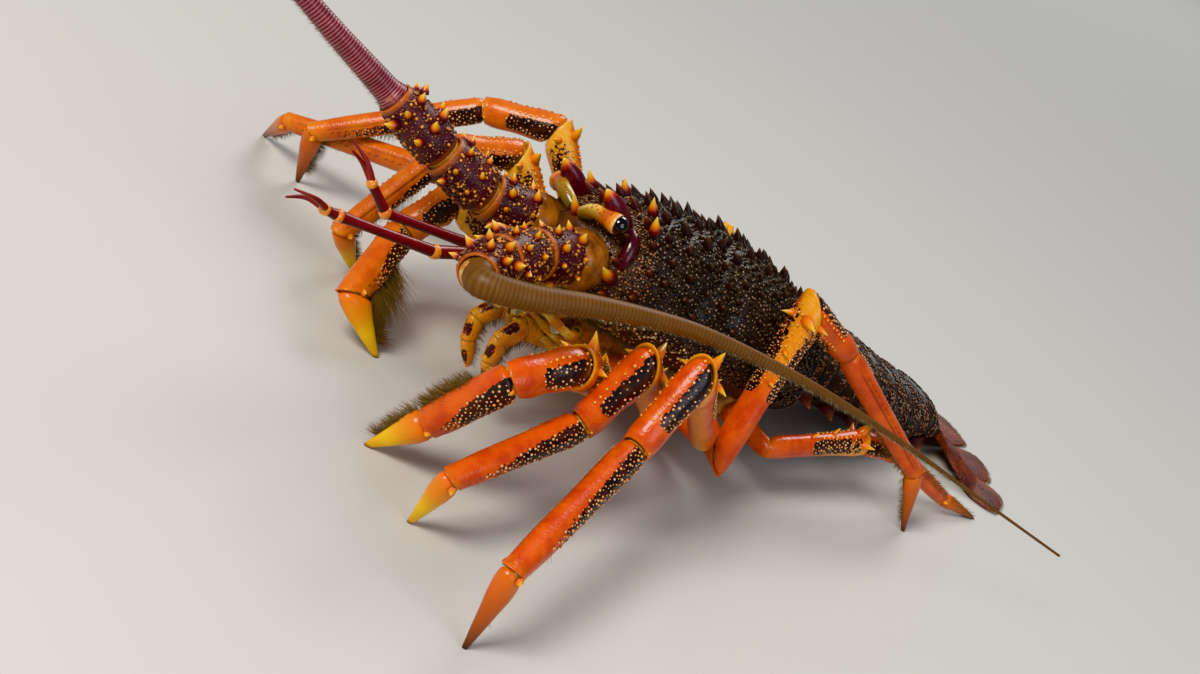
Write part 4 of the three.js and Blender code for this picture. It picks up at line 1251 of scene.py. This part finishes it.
# %% [markdown]
# The markings follow the real pattern: on each face of the merus, the carpus and the shank lies
# one dark field with ragged edges, set with cream granules, and the top and bottom edges stay
# orange. The fields are described by where they start and end along the length and how far
# round they reach, measured from the outer edge of the bend. The fourth left leg is turned about
# its length, so the ridge between its fields looks another way, and on it and the next leg so
# does the yellow inner face of the knee.

# %% Markings of a leg
FIELDS = {
    "merus": {"from": 0.42, "to": 0.93, "top": (30, 26), "foot": (112, 106), "fade": 0.5, "strip": 0},
    "carpus": {"from": -0.2, "to": 0.66, "top": (37, 44), "foot": (122, 106), "fade": 0.0, "strip": 9},
    "propodus": {"from": -0.2, "to": 0.95, "top": (26, 84), "foot": (136, 128), "fade": 0.7, "strip": 0},
}
REAR_SHANK = {"from": -0.2, "to": 0.24, "top": (58, 80), "foot": (126, 116), "fade": 0.6, "strip": 0}
FIELD_CORNER = 3
EDGE_SOFTNESS = 2.4
EDGE_ROWS = {"carpus": (27, 0.06, 0.66), "merus": (19, 0.5, 0.9)}
SEAM_WAYS = {"left": [(-1, 0, 0.6)] * 3 + [(0.35, -0.8, 0.6)] * 2, "right": [(0.8, -0.4, 0.5)] * 5}
SEAM_DASH = 3.1
SEAM_WIDTH = 0.42
INNER_FACES = {("left", 4): (0.62, -0.72, 0.1), ("left", 5): (0.62, -0.72, -0.3)}
RIDGES = {("left", 4): (0.62, -0.72, 0.3)}
GRANULE_SPACING = 1.9


def field_mark(name, number, girth, length):
    """How deep inside the dark field a spot is: 0 outside, 1 inside, over a millimetre or two."""
    field = REAR_SHANK if name == "propodus" and number > 3 else FIELDS.get(name)

    def mark(share, angle):
        if field is None:
            return np.zeros_like(share)
        degrees = np.abs(np.degrees(angle))
        reach = np.clip((share - field["from"]) / (field["to"] - field["from"]), 0, 1)
        top, foot = (field[edge][0] + (field[edge][1] - field[edge][0]) * reach for edge in ("top", "foot"))
        ends = np.minimum(share - field["from"], field["to"] - share) * length
        across = np.radians(np.minimum(degrees - top, foot - degrees)) * girth
        corner = np.hypot(*(np.clip(FIELD_CORNER - depth, 0, None) for depth in (ends, across)))
        square = (ends > FIELD_CORNER) | (across > FIELD_CORNER)
        inside = np.where(square, np.minimum(ends, across), FIELD_CORNER - corner)
        faded = field["fade"] * eased((reach - 0.45) / 0.5)
        return np.clip(0.5 + inside / EDGE_SOFTNESS, 0, 1) * (1 - faded)

    return mark


def turned(mark, ridge):
    """The same mark, laid round the ridge."""
    return lambda share, angle: mark(share, half_turn(angle - ridge))


def pale_mark(name, inner, ridge):
    """The yellow underside, the paler ends, and the bright rim and yellow inner face at the knee."""

    def mark(share, angle):
        under = eased((-0.56 - np.cos(angle - ridge)) / 0.42)
        ends = eased((share - 0.9) / 0.1) + eased((0.06 - share) / 0.06)
        if name == "merus":
            facing_in = eased((np.cos(angle - inner) - 0.3) / 0.35) * eased((share - 0.3) / 0.4)
            ends = ends + eased((share - 0.95) / 0.02) + 1.9 * facing_in
        return np.clip(0.7 * under + 0.45 * ends, 0, 1)

    return mark


def line_mark(name, girth, length, middle):
    """Two thin dark seams along the shank, one of them broken into dashes."""

    def mark(share, angle):
        if name != "propodus":
            return np.zeros_like(share)
        off = half_turn(angle - middle)
        far = eased((share - 0.08) / 0.1) * eased((0.96 - share) / 0.06)
        dash = eased(0.5 + np.sin(share * length * 2 * math.pi / SEAM_DASH))
        broken = bell((off - 0.42) * girth, SEAM_WIDTH) * dash
        return (bell(off * girth, SEAM_WIDTH) + broken) * far * 0.8

    return mark


def granule_sites(name, mark, girth, length):
    """Jittered sites inside a dark field, as distances and angles. A strip may stay smooth."""
    rows = int(length / (GRANULE_SPACING * 0.87))
    ring = int(2 * math.pi * girth / GRANULE_SPACING)
    along, round_ = (grid.ravel() for grid in np.meshgrid(np.arange(rows), np.arange(ring), indexing="ij"))
    distance = (along + 0.5) / rows * length
    angle = (round_ + 0.5 * (along % 2)) / ring * 2 * math.pi - math.pi
    distance = distance + rng.uniform(-0.25, 0.25, len(distance)) * GRANULE_SPACING
    angle = angle + rng.uniform(-0.25, 0.25, len(angle)) * GRANULE_SPACING / girth
    field = FIELDS[name]
    middle = (sum(field["top"]) + sum(field["foot"])) / 4
    off_middle = np.abs(np.abs(np.degrees(angle)) - middle)
    smooth = (off_middle < field["strip"]) & (distance < 0.5 * length)
    keep = (mark(distance / length, angle) > 0.34) & (distance > 0.04 * length) & ~smooth
    return distance[keep], angle[keep]


def edge_row(name, length):
    """One row of warm granules on the orange, along the upper border of each field."""
    degrees, first, last = EDGE_ROWS[name]
    distance = np.arange(first * length, last * length, 2.6)
    distance = np.concatenate([distance, distance + 1.3])
    angle = math.radians(degrees) * np.repeat((1, -1), len(distance) // 2)
    return distance, angle + rng.normal(0, 0.04, len(angle))


# %% [markdown]
# A leg carries a knee with stout spines, knobs at its joints, and bristles in the bend between
# the shank and the claw. The first right leg has a wide fan of them.

# %% One whole leg
BRUSH_STRENGTH = {"left": [1700, 500, 450, 500, 400], "right": [3600, 800, 900, 800, 400]}
BRUSH_SIDES = {("left", 1): (-1.0, -0.5, 0.1)}
BRUSH_REACH = {("right", 1): 1.4, ("right", 3): 1.3}
BRUSH_FANS = {("right", 1): 1.1}
FULL_BRUSH = 1800
KNEE_SPINES = [(-4.5, 0, 7.4), (-4.5, 62, 4.6), (-4.5, -62, 4.6), (-20, 8, 3.4), (-34, -8, 3)]


def leg(label, number):
    side = SIDES[label]
    which = (label, number)
    pair = LEG_PAIRS[number - 1]
    limb = bones(leg_points(side, pair, LEG_POSES[label][number - 1]), flat_end=True)
    ridges = [angle_of(RIDGES[which], bone) if which in RIDGES else 0.0 for bone in limb]
    profiles = []
    fields = []
    marks = []
    for name, bone, ridge in zip(LEG_PROFILES, limb, ridges):
        profile = np.array(LEG_PROFILES[name]) * (1, pair["half"], pair["half"])
        if number == 1 and name in STOUTER:
            start, end = STOUTER[name]
            profile[:, 1:] *= start + (end - start) * profile[:, :1]
        girth = profile[len(profile) // 2][2]
        field = field_mark(name, number, girth, bone.length)
        inner = angle_of(INNER_FACES.get(which, (-side, -0.5, -0.3)), bone)
        seam = angle_of(SEAM_WAYS[label][number - 1], bone)
        profiles.append(profile)
        fields.append((name, field, girth, bone.length))
        marks.append({"patch": turned(field, ridge), "pale": pale_mark(name, inner, ridge),
                      "line": line_mark(name, girth, bone.length, seam)})
    lengths, membranes = chain(limb[:4], profiles, marks, 44, 36, 2, (1, 2, 0.8))
    limb[4].spot = limb_spot(limb[4], profiles[4])
    claw = claw_length(f"claw_{label}_{number}", limb[4], profiles[4][0][2])
    stem = f"leg_{label}_{number}"
    dress(lengths[:2], LEG_SHELL[label], "leg", f"{stem}_upper", name=f"{stem}_upper")
    dress(lengths[2:], LEG_SHELL[label], "leg", f"{stem}_lower", name=f"{stem}_lower")
    dress(claw, CLAW if number < 3 else REAR_CLAW, "claw", f"{stem}_foot")
    dress(membranes, MEMBRANE, "leg", name=f"{stem}_joints")
    beads = []
    edges = []
    for i in (1, 2, 3):
        distance, angle = granule_sites(*fields[i])
        beads.append(facing(limb[i].spot, distance, angle + ridges[i]))
        if fields[i][0] in EDGE_ROWS:
            distance, angle = edge_row(fields[i][0], limb[i].length)
            edges.append(facing(limb[i].spot, distance, angle + ridges[i]))
    inside = sum(len(part[0]) for part in beads)
    here, out, ahead = stacked(beads + edges)
    size = 0.27 + 0.38 * rng.uniform(0, 1, inside) ** 1.5
    warm = np.concatenate([rng.uniform(0, 0.6, inside), np.full(len(here) - inside, 0.95)])
    size = np.concatenate([size, rng.uniform(0.5, 0.8, len(here) - inside)])
    copies(f"{stem}_granules", GRANULE, here, out, ahead, size, size * 0.75, GRANULES, "leg", warm)
    leg_spines(stem, limb, pair["half"])
    leg_brush(stem, limb, which, pair["half"])


def claw_length(name, bone, girth):
    """The foot: a curved, pointed claw that ends flat on the floor."""
    stations = [
        (-0.4 * girth, 0.0), (-0.4 * girth, 0.6), (0.3, 0.72), (0.3 + 0.1 * girth, 0.92), (0.6 * girth, 1.0),
        *((distance, 1.0) for distance in np.linspace(0.9 * girth, bone.length, 30)), (bone.length, 0.0),
    ]

    def place(along, angle):
        distance, swell = stretched(stations, along)
        ridge = 1 + 0.06 * np.cos(3 * angle) * eased(distance / bone.length * 3)
        points = bone.spot(distance, angle, swell * ridge)
        points[:, 2] = np.maximum(points[:, 2], 0)
        return points

    def tip(along, angle):
        return np.clip(stretched(stations, along)[0] / bone.length, 0, 1)

    return skin(name, len(stations) - 1, 28, place, {"tip": tip})


def leg_spines(stem, limb, half):
    """Spines over the knee, as in the solids, smaller ones down the merus, and joint knobs."""
    merus, carpus = limb[1:3]
    side = unit(np.cross((0, 0, 1), merus.heading))
    knee = SimpleNamespace(side=side, upright=np.cross(merus.heading, side))
    rows = []
    for along, degrees, length in KNEE_SPINES:
        out = around(knee, math.radians(degrees))
        rows.append((merus.end + merus.heading * along + out * half * 0.9, out + carpus.heading * 0.5,
                     length * 0.34, length))
    for before, after in zip(limb[2:], limb[3:]):
        for sign in (1, -1):
            out = after.side * sign
            root = before.end + out * half * 0.66 - before.heading * 0.4
            rows.append((root, out, half * 0.22, half * 0.2))
    roots, ways, widths, heights = (np.array(column) for column in zip(*rows))
    copies(f"{stem}_spines", SPINE, roots, ways, carpus.heading, widths, heights, CLAW, "leg", 1.0)


def leg_brush(stem, limb, which, half):
    """Bristles in the bend between the shank and the claw."""
    count = BRUSH_STRENGTH[which[0]][which[1] - 1]
    shank, claw = (bone.heading for bone in limb[3:])
    reach = half * (0.35 + 0.5 * min(1.0, count / FULL_BRUSH)) * BRUSH_REACH.get(which, 1.0)
    rows = []
    for index, bend, fan, some, first, last in (
        (0, claw - shank * (shank @ claw), BRUSH_FANS.get(which, 0.0), 0.62, 0.35, 0.97),
        (1, claw * (shank @ claw) - shank, 0.0, 0.38, 0.1, 0.8),
    ):
        bone = limb[3 + index]
        amount = int(count * some)
        share = rng.uniform(first, last, amount)
        angle = angle_of(BRUSH_SIDES.get(which, bend), bone) + rng.normal(0, 0.32, amount)
        here, out, ahead = facing(bone.spot, share * bone.length, angle)
        way = unit(out + ahead * 0.5 + rng.normal(0, 0.16, (amount, 3)))
        places = np.stack([(index + share) / 2, (angle / (2 * math.pi)) % 1], axis=1)
        longer = 1 + fan * np.sin(math.pi * np.clip((share - 0.15) / 0.95, 0, 1))
        rows.append((here, way, ahead, places, longer))
    here, way, ahead, places, longer = stacked(rows)
    lengths = rng.uniform(0.3, 1.0, len(here)) * reach * longer
    keep = here[:, 2] + way[:, 2] * lengths > 0.6
    copies(f"{stem}_bristles", BRISTLE, here[keep], way[keep], ahead[keep], 0.075, lengths[keep],
           BRISTLES, "leg", bake=places[keep])


for label in SIDES:
    for number in range(1, len(LEG_PAIRS) + 1):
        leg(label, number)
print("legs done")

# %% [markdown]
# The mouth. Two jaw legs bend down in front of it, yellow-orange with dark patches and a brush
# on the inside. Behind them sit the plates of the jaws, pale with a painted glint, and a pair of
# thinner jaw legs.

# %% Jaw legs
JAW_LEG_JOINTS = [(8, 26, -48), (10, -3, -49), (10, -10, -57), (9, -9, -66), (8, -3, -77)]
JAW_LEG_PROFILES = [
    [[0, 4.6, 5.4], [0.5, 4.8, 5.6], [1, 4.2, 4.8]],
    [[0, 4.2, 4.8], [1, 3.8, 4.2]],
    [[0, 3.8, 4.2], [1, 3.2, 3.6]],
    [[0, 3.2, 3.6], [0.6, 2.4, 2.8], [1, 0.8, 0.9]],
]
JAW_BRISTLES = 160


def jaw_patch(share, angle):
    """A long dark red streak on the outer face, which thins out towards its ends."""
    streak = 1 - ((share - 0.52) / 0.4) ** 2
    return 0.85 * np.clip(streak, 0, 1) * eased((np.cos(angle - 0.2) - 0.72) / 0.22)


JAW_MARKS = {
    "patch": jaw_patch,
    "pale": lambda share, angle: 0.25 + 0.3 * np.cos(angle * 2),
    "line": lambda share, angle: np.zeros_like(share),
}
for label, side in SIDES.items():
    limb = bones(from_body(JAW_LEG_JOINTS, side))
    lengths, membranes = chain(limb, JAW_LEG_PROFILES, [JAW_MARKS] * 4, 18, 28, 2, (2, 2, 0.82),
                               free_end=True, gap=0.25)
    dress(lengths, JAW_SHELL, "mouth", f"jaw_leg_{label}", name=f"jaw_leg_{label}")
    dress(membranes, MEMBRANE, "mouth", name=f"jaw_leg_joints_{label}")
    rows = []
    for i, bone in enumerate(limb):
        share = rng.uniform(0.1, 0.95, JAW_BRISTLES)
        angle = math.pi + rng.normal(0, 0.6, JAW_BRISTLES)
        here, out, ahead = facing(bone.spot, share * bone.length, angle)
        way = unit(out + ahead * 0.4 + rng.normal(0, 0.2, (JAW_BRISTLES, 3)))
        rows.append((here, way, np.stack([(i + share) / 4, (angle / (2 * math.pi)) % 1], axis=1)))
    here, way, places = stacked(rows)
    copies(f"jaw_leg_bristles_{label}", BRISTLE, here, way, way[:, [1, 2, 0]], BRISTLE_WIDTH,
           rng.uniform(2, 4, len(here)), BRISTLES, "mouth", bake=places)

# %% [markdown]
# Between the jaw legs lie the jaws themselves: two rounded plates, coloured greenish white as a
# painted glint, with thin mouth legs folded over them and pale hair round their edges. The breast
# plate closes the body from below.

# %% Jaws, mouth legs and breast
JAW_PATHS = [
    ([(4, 14, -28), (7.2, 5, -33), (5, 0, -41)], [[0, 3.5], [0.3, 4.8], [0.7, 4.2], [0.92, 3], [1, 1]]),
    ([(4.5, 4, -37), (7.6, -6, -40), (7.6, -9, -46)], [[0, 1.5], [0.5, 2.9], [0.85, 2.6], [1, 0.8]]),
    ([(8, 12, -38), (14.5, 4.5, -41.5), (22, 4.5, -41.5)], [[0, 1.5], [0.5, 3.0], [0.85, 2.6], [1, 1]]),
]
JAW_FLATNESS = 0.42
CHEEK_PATH = [(15, 14, -27), (15.5, 6, -34), (12, 3, -42)]
CHEEK_WIDTHS = [[0, 3], [0.4, 4.2], [0.8, 3], [1, 1]]
CHEEK_FLATNESS = 0.75
MOUTH_LEGS = [
    [(11, 20, -44), (17, 11, -46), (13, 1, -43.5), (7, -5, -41)],
    [(12, 20, -40), (22, 10, -42), (16, -2, -38.5), (9, -6, -37.5)],
    [(10, 20, -47), (14, 7, -49), (9, -3, -47), (5, -6, -48)],
    [(5, 16, -44), (4.5, 2, -43), (3.5, -1.5, -48), (2.5, 0, -54)],
]
MOUTH_LEG_WIDTHS = [[0, 2.3], [0.5, 2.1], [0.8, 1.5], [1, 0.5]]
MOUTH_LEG_KNOBS = 4
MOUTH_HAIRS = 800
MOUTH_MARKS = {
    "pale": lambda along, angle: 0.5 + 0.4 * np.cos(along * 8 * math.pi),
    "patch": lambda along, angle: (0.75 * eased(np.cos(angle) * 3 - 1.8)
                                   * eased(np.cos(along * 8 * math.pi) * 2)),
}
UNDERSIDE_ROWS = [
    [4, 10, -14, -30], [14, 11, -14, -44], [30, 11, -20, -50], [50, 14, -24, -54], [64, 18, -28, -56],
    [80, 23, -30, -57], [97, 27, -30, -57], [114, 29, -30, -54], [128, 25, -30, -48],
]


def underside_spot(along, angle):
    half, top, bottom = between_rows(UNDERSIDE_ROWS, along).T
    middle = (top + bottom) / 2
    grooves = sum(bell(along - pair["root"][1] - 7, 1.6) for pair in LEG_PAIRS)
    dip = 1 - 0.04 * grooves * (np.cos(angle) < 0)
    return from_body(np.stack([half * signed_power(np.sin(angle), 0.7), along,
                               middle + (top - middle) * signed_power(np.cos(angle), 0.7) * dip], axis=1))


for label, side in SIDES.items():
    plates = [swept("jaw", from_body(path, side), 40, 30, girths(widths), JAW_FLATNESS)
              for path, widths in JAW_PATHS]
    dress(plates, JAW_PLATE_GLINT, "mouth", name=f"jaws_{label}")
    dress(swept(f"cheek_plate_{label}", from_body(CHEEK_PATH, side), 36, 28, girths(CHEEK_WIDTHS),
                CHEEK_FLATNESS), EYE_RIM, "mouth")
    folded = [swept("mouth_leg", from_body(path, side), 60, 20, girths(MOUTH_LEG_WIDTHS, MOUTH_LEG_KNOBS),
                    marks=MOUTH_MARKS) for path in MOUTH_LEGS]
    dress(folded, JAW_SHELL, "mouth", name=f"mouth_legs_{label}")
    roots = from_body(CHEEK_PATH + MOUTH_LEGS[0][1:] + MOUTH_LEGS[2][1:], side)
    picked = rng.integers(0, len(roots), MOUTH_HAIRS)
    way = unit(rng.normal(0, 1, (MOUTH_HAIRS, 3)) + from_body_direction((0, -1.6, -0.5)))
    here = roots[picked] + way * 2.0 + rng.uniform(-1.5, 1.5, (MOUTH_HAIRS, 3))
    long = rng.uniform(1.5, 3.4, MOUTH_HAIRS)
    places = np.stack([(picked + 0.5) / len(roots), rng.uniform(0, 1, MOUTH_HAIRS)], axis=1)
    copies(f"mouth_hair_{label}", BRISTLE, here, way, way[:, [1, 2, 0]], 0.06, long, PALE_BRISTLES,
           "mouth", bake=places)
dress(skin("underside", 110, 60, capped(underside_spot, 4, 128)), BREAST, "mouth", "underside")

# %% [markdown]
# The abdomen is six ringed plates that overlap like tiles. Each plate has a smooth front that
# slides under its neighbour, two bands of low scales with a furrow between them, and a lobe on
# each side that points down and back. The last plate closes down on the tail fan.

# %% Abdomen
ABDOMEN = [
    (18, 11.5, 12, 33, 20, 18),
    (25, 15, 10, 33, 20, 18),
    (25, 18, 8, 32, 19, 16),
    (24, 17.5, 6, 30, 17.5, 14),
    (23, 13, 4, 27, 15.5, 11.5),
    (26, 6, 2, 24, 12.5, 9),
]
ABDOMEN_START = from_body((0, CARAPACE_LENGTH - 2, -14))
SEGMENT_FRONT_ROWS = [
    [-0.14, 0.86, 0.86], [0.0, 0.91, 0.91], [0.1, 0.955, 0.955], [0.2, 0.99, 0.99], [0.44, 1.01, 1.01],
    [0.5, 0.985, 0.985], [0.56, 1.015, 1.015],
]
SEGMENT_ROWS = SEGMENT_FRONT_ROWS + [
    [0.86, 1.03, 1.03], [0.93, 1.0, 1.0], [0.97, 1.02, 1.02], [1.0, 1.0, 1.0],
]
LAST_SEGMENT_ROWS = SEGMENT_FRONT_ROWS + [
    [0.68, 1.01, 0.99], [0.86, 0.98, 0.81], [0.93, 0.96, 0.66], [0.97, 0.955, 0.6], [1.0, 0.93, 0.5],
]
SEGMENT_CAP = 0.05
SEGMENT_SCALES = 420
LOBE_SIZE = (4.8, 7.5)


def abdomen_plates():
    """Place, directions and sizes of every abdominal plate."""
    plates = []
    at = ABDOMEN_START
    for length, slope, roll, wide, over, under in ABDOMEN:
        heading = np.array((0, math.cos(math.radians(slope)), -math.sin(math.radians(slope))))
        upright = np.array((-math.sin(math.radians(roll)), 0, math.cos(math.radians(roll))))
        across = unit(np.cross(heading, upright))
        plates.append(SimpleNamespace(at=at, end=at + heading * length, heading=heading, across=across,
                                      upright=np.cross(across, heading), length=length, wide=wide,
                                      over=over, under=under))
        at = plates[-1].end
    return plates


def segment_spot(plate, before, after, rows):
    """spot(share, angle) on a plate whose ends are slanted to the planes of its neighbours."""
    first_plane = unit(before.heading + plate.heading)
    last_plane = unit(after.heading + plate.heading)

    def spot(share, angle):
        width, height = between_rows(rows, share).T
        cosine = np.cos(angle)
        tall = np.where(cosine > 0, plate.over, plate.under)
        sideways = plate.wide * width * signed_power(np.sin(angle), 0.85)
        lift = tall * height * signed_power(cosine, np.where(cosine > 0, 0.9, 0.55))
        offset = sideways[:, None] * plate.across + lift[:, None] * plate.upright
        slant = np.clip(1 - share / 0.3, 0, 1)[:, None] * first_plane
        slant = slant + np.clip((share - 0.7) / 0.3, 0, 1)[:, None] * last_plane
        calm = np.clip(1 - np.abs(np.clip(share, 0, 1) - 0.5) / 0.5, 0, 1)
        slant = unit(slant + calm[:, None] * plate.heading * 1.5 + 1e-9)
        slide = np.sum(offset * slant, axis=1) / (slant @ plate.heading)
        return plate.at + offset + (share * plate.length - slide)[:, None] * plate.heading

    return spot


def flat_capped(spot, middle_of, cap, first=0.0, ease=1.0):
    """A skin's place function with a flat cap at each end, closed on the middle of the part."""

    def place(along, angle):
        share = first + (1 - first) * np.clip((along - cap) / (1 - 2 * cap), 0, 1)
        middle = middle_of(share)
        shrink = np.clip(np.minimum(along, 1 - along) / cap, 0, 1)[:, None]
        shrink = np.where(shrink < 1, shrink * ease, 1)
        return middle + (spot(share, angle) - middle) * shrink

    return place


plates = abdomen_plates()
bands = []
lobes = []
for number, plate in enumerate(plates, 1):
    before = plates[max(number - 2, 0)]
    after = plates[min(number, len(plates) - 1)]
    rows = LAST_SEGMENT_ROWS if number == len(plates) else SEGMENT_ROWS
    spot = segment_spot(plate, before, after, rows)
    place = flat_capped(spot, lambda share: plate.at + share[:, None] * plate.length * plate.heading,
                        SEGMENT_CAP, 0.0 if number == 1 else -0.14, 0.9)
    name = f"abdomen_{number}"
    dress(skin(name, 60, 110, place), BACK_SHELL, "shell", name)
    half_count = SEGMENT_SCALES // 2
    share = np.concatenate([rng.uniform(0.2, 0.42, half_count), rng.uniform(0.58, 0.88, half_count)])
    bands.append(facing(spot, share, rng.uniform(-1.75, 1.75, len(share)), 0.01))
    for side in (1, -1):
        root = plate.at + plate.heading * plate.length * 0.52 + plate.across * side * plate.wide * 0.86
        way = plate.across * side * 0.5 - plate.upright * 0.8 + plate.heading * 0.35
        lobes.append((root - plate.upright * plate.under * 0.62, way))
here, out, ahead = stacked(bands)
size = rng.uniform(0.5, 1.1, len(here))
copies("abdomen_scales", SCALE, here, out, -ahead, size, size * 0.4, BACK_SPINES, "shell",
       rng.uniform(0, 0.4, len(here)))
roots, ways = zip(*lobes)
copies("abdomen_lobes", SPINE, roots, ways, (0, 1.0, 0), *LOBE_SIZE, BACK_SPINES, "shell", 0.8)

# %% [markdown]
# The tail fan is a middle plate with two plates on each side. The root of each is hard shell, and
# the rest is a thin, ribbed sheet whose ribs spread to a fringe of bristles round its rear edge.

# %% Tail fan
FAN = [
    ("telson", 0, 0, 7, 14.5, 49),
    ("uropod_inner_left", 12.5, 26, 4, 12.8, 49),
    ("uropod_inner_right", -12.5, -26, 4, 12.8, 49),
    ("uropod_outer_left", 22.5, 54, 3, 13, 48),
    ("uropod_outer_right", -22.5, -54, 3, 13, 48),
]
FAN_ROWS = [
    [0, 0, 2.6], [0.14, 0.2, 2.4], [0.4, 0.62, 1.8], [0.72, 1, 1.4], [0.88, 0.94, 1.2], [0.96, 0.66, 1],
    [0.985, 0.4, 0.9], [1, 0.1, 0.8],
]
FAN_LANDING = 0.7
FAN_RIBS = 13
FAN_ROUNDNESS = 0.8
FAN_CAP = 0.03
FRINGE_BRISTLES = 420
FRINGE_SHARES = np.linspace(0.82, 0.995, 80)
FRINGE_SPREADS = between_rows(FAN_ROWS, FRINGE_SHARES)[:, 0]
last = plates[-1]


def fan_plate(name, across, fan, root, wide, length):
    """One plate of the fan, and the roots, directions and places of its fringe."""
    start = last.end + last.heading * 0.3 + last.across * across - last.upright
    turn = math.radians(fan)
    along_way = np.array((math.sin(turn), math.cos(turn), 0))
    side = np.array((along_way[1], -along_way[0], 0))

    def spot(share, angle):
        spread, half = between_rows(FAN_ROWS, share).T
        level = np.maximum(half * 0.8, start[2] * (1 - share / FAN_LANDING))
        sideways = signed_power(np.sin(angle), FAN_ROUNDNESS)
        ribs = 0.12 * np.cos(sideways * FAN_RIBS * math.pi) * eased((share - 0.2) / 0.2)
        offset = side * ((root + (wide - root) * spread) * sideways)[:, None]
        offset[:, 2] = half * np.cos(angle) * (1 + ribs)
        near = np.clip(1 - share / 0.2, 0, 1)
        slide = (offset @ last.heading) / (along_way @ last.heading) * near
        points = start + along_way * (share * length - slide)[:, None] + offset
        points[:, 2] = np.maximum(0, level + offset[:, 2])
        return points

    def middle_of(share):
        return sum(spot(share, np.full_like(share, edge)) / 2 for edge in (0, math.pi))

    dress(skin(name, 70, 110, flat_capped(spot, middle_of, FAN_CAP)), TAIL_SHELL, "shell", name)
    sideways = rng.uniform(-1, 1, FRINGE_BRISTLES)
    share = np.interp(np.abs(sideways), FRINGE_SPREADS[::-1], FRINGE_SHARES[::-1])
    spread = np.interp(share, FRINGE_SHARES, FRINGE_SPREADS)
    angle = np.arcsin(signed_power(np.clip(sideways / spread, -1, 1), 1 / FAN_ROUNDNESS))
    aside = (sideways**3)[:, None]
    way = along_way * (1 - 0.5 * np.abs(aside)) + side * aside
    way = unit(way + rng.normal(0, 0.08, (FRINGE_BRISTLES, 3)))
    way[:, 2] = np.abs(way[:, 2]) * 0.3
    return spot(share, angle), way, np.stack([share, sideways / 2 + 0.5], axis=1)


here, way, places = stacked([fan_plate(*plate) for plate in FAN])
copies("tail_fringe", BRISTLE, here, way, UP, 0.06, rng.uniform(1.2, 2.0, len(here)), BRISTLES, "shell",
       bake=np.clip(places, 0, 1))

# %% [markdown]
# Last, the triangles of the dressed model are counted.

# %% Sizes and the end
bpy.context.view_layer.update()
triangles = 0
for piece in bpy.data.objects:
    if piece.type == "MESH" and piece.name not in frame["nodes"] and piece is not floor:
        triangles += sum(len(face.vertices) - 2 for face in piece.data.polygons)
print("triangles:", triangles)
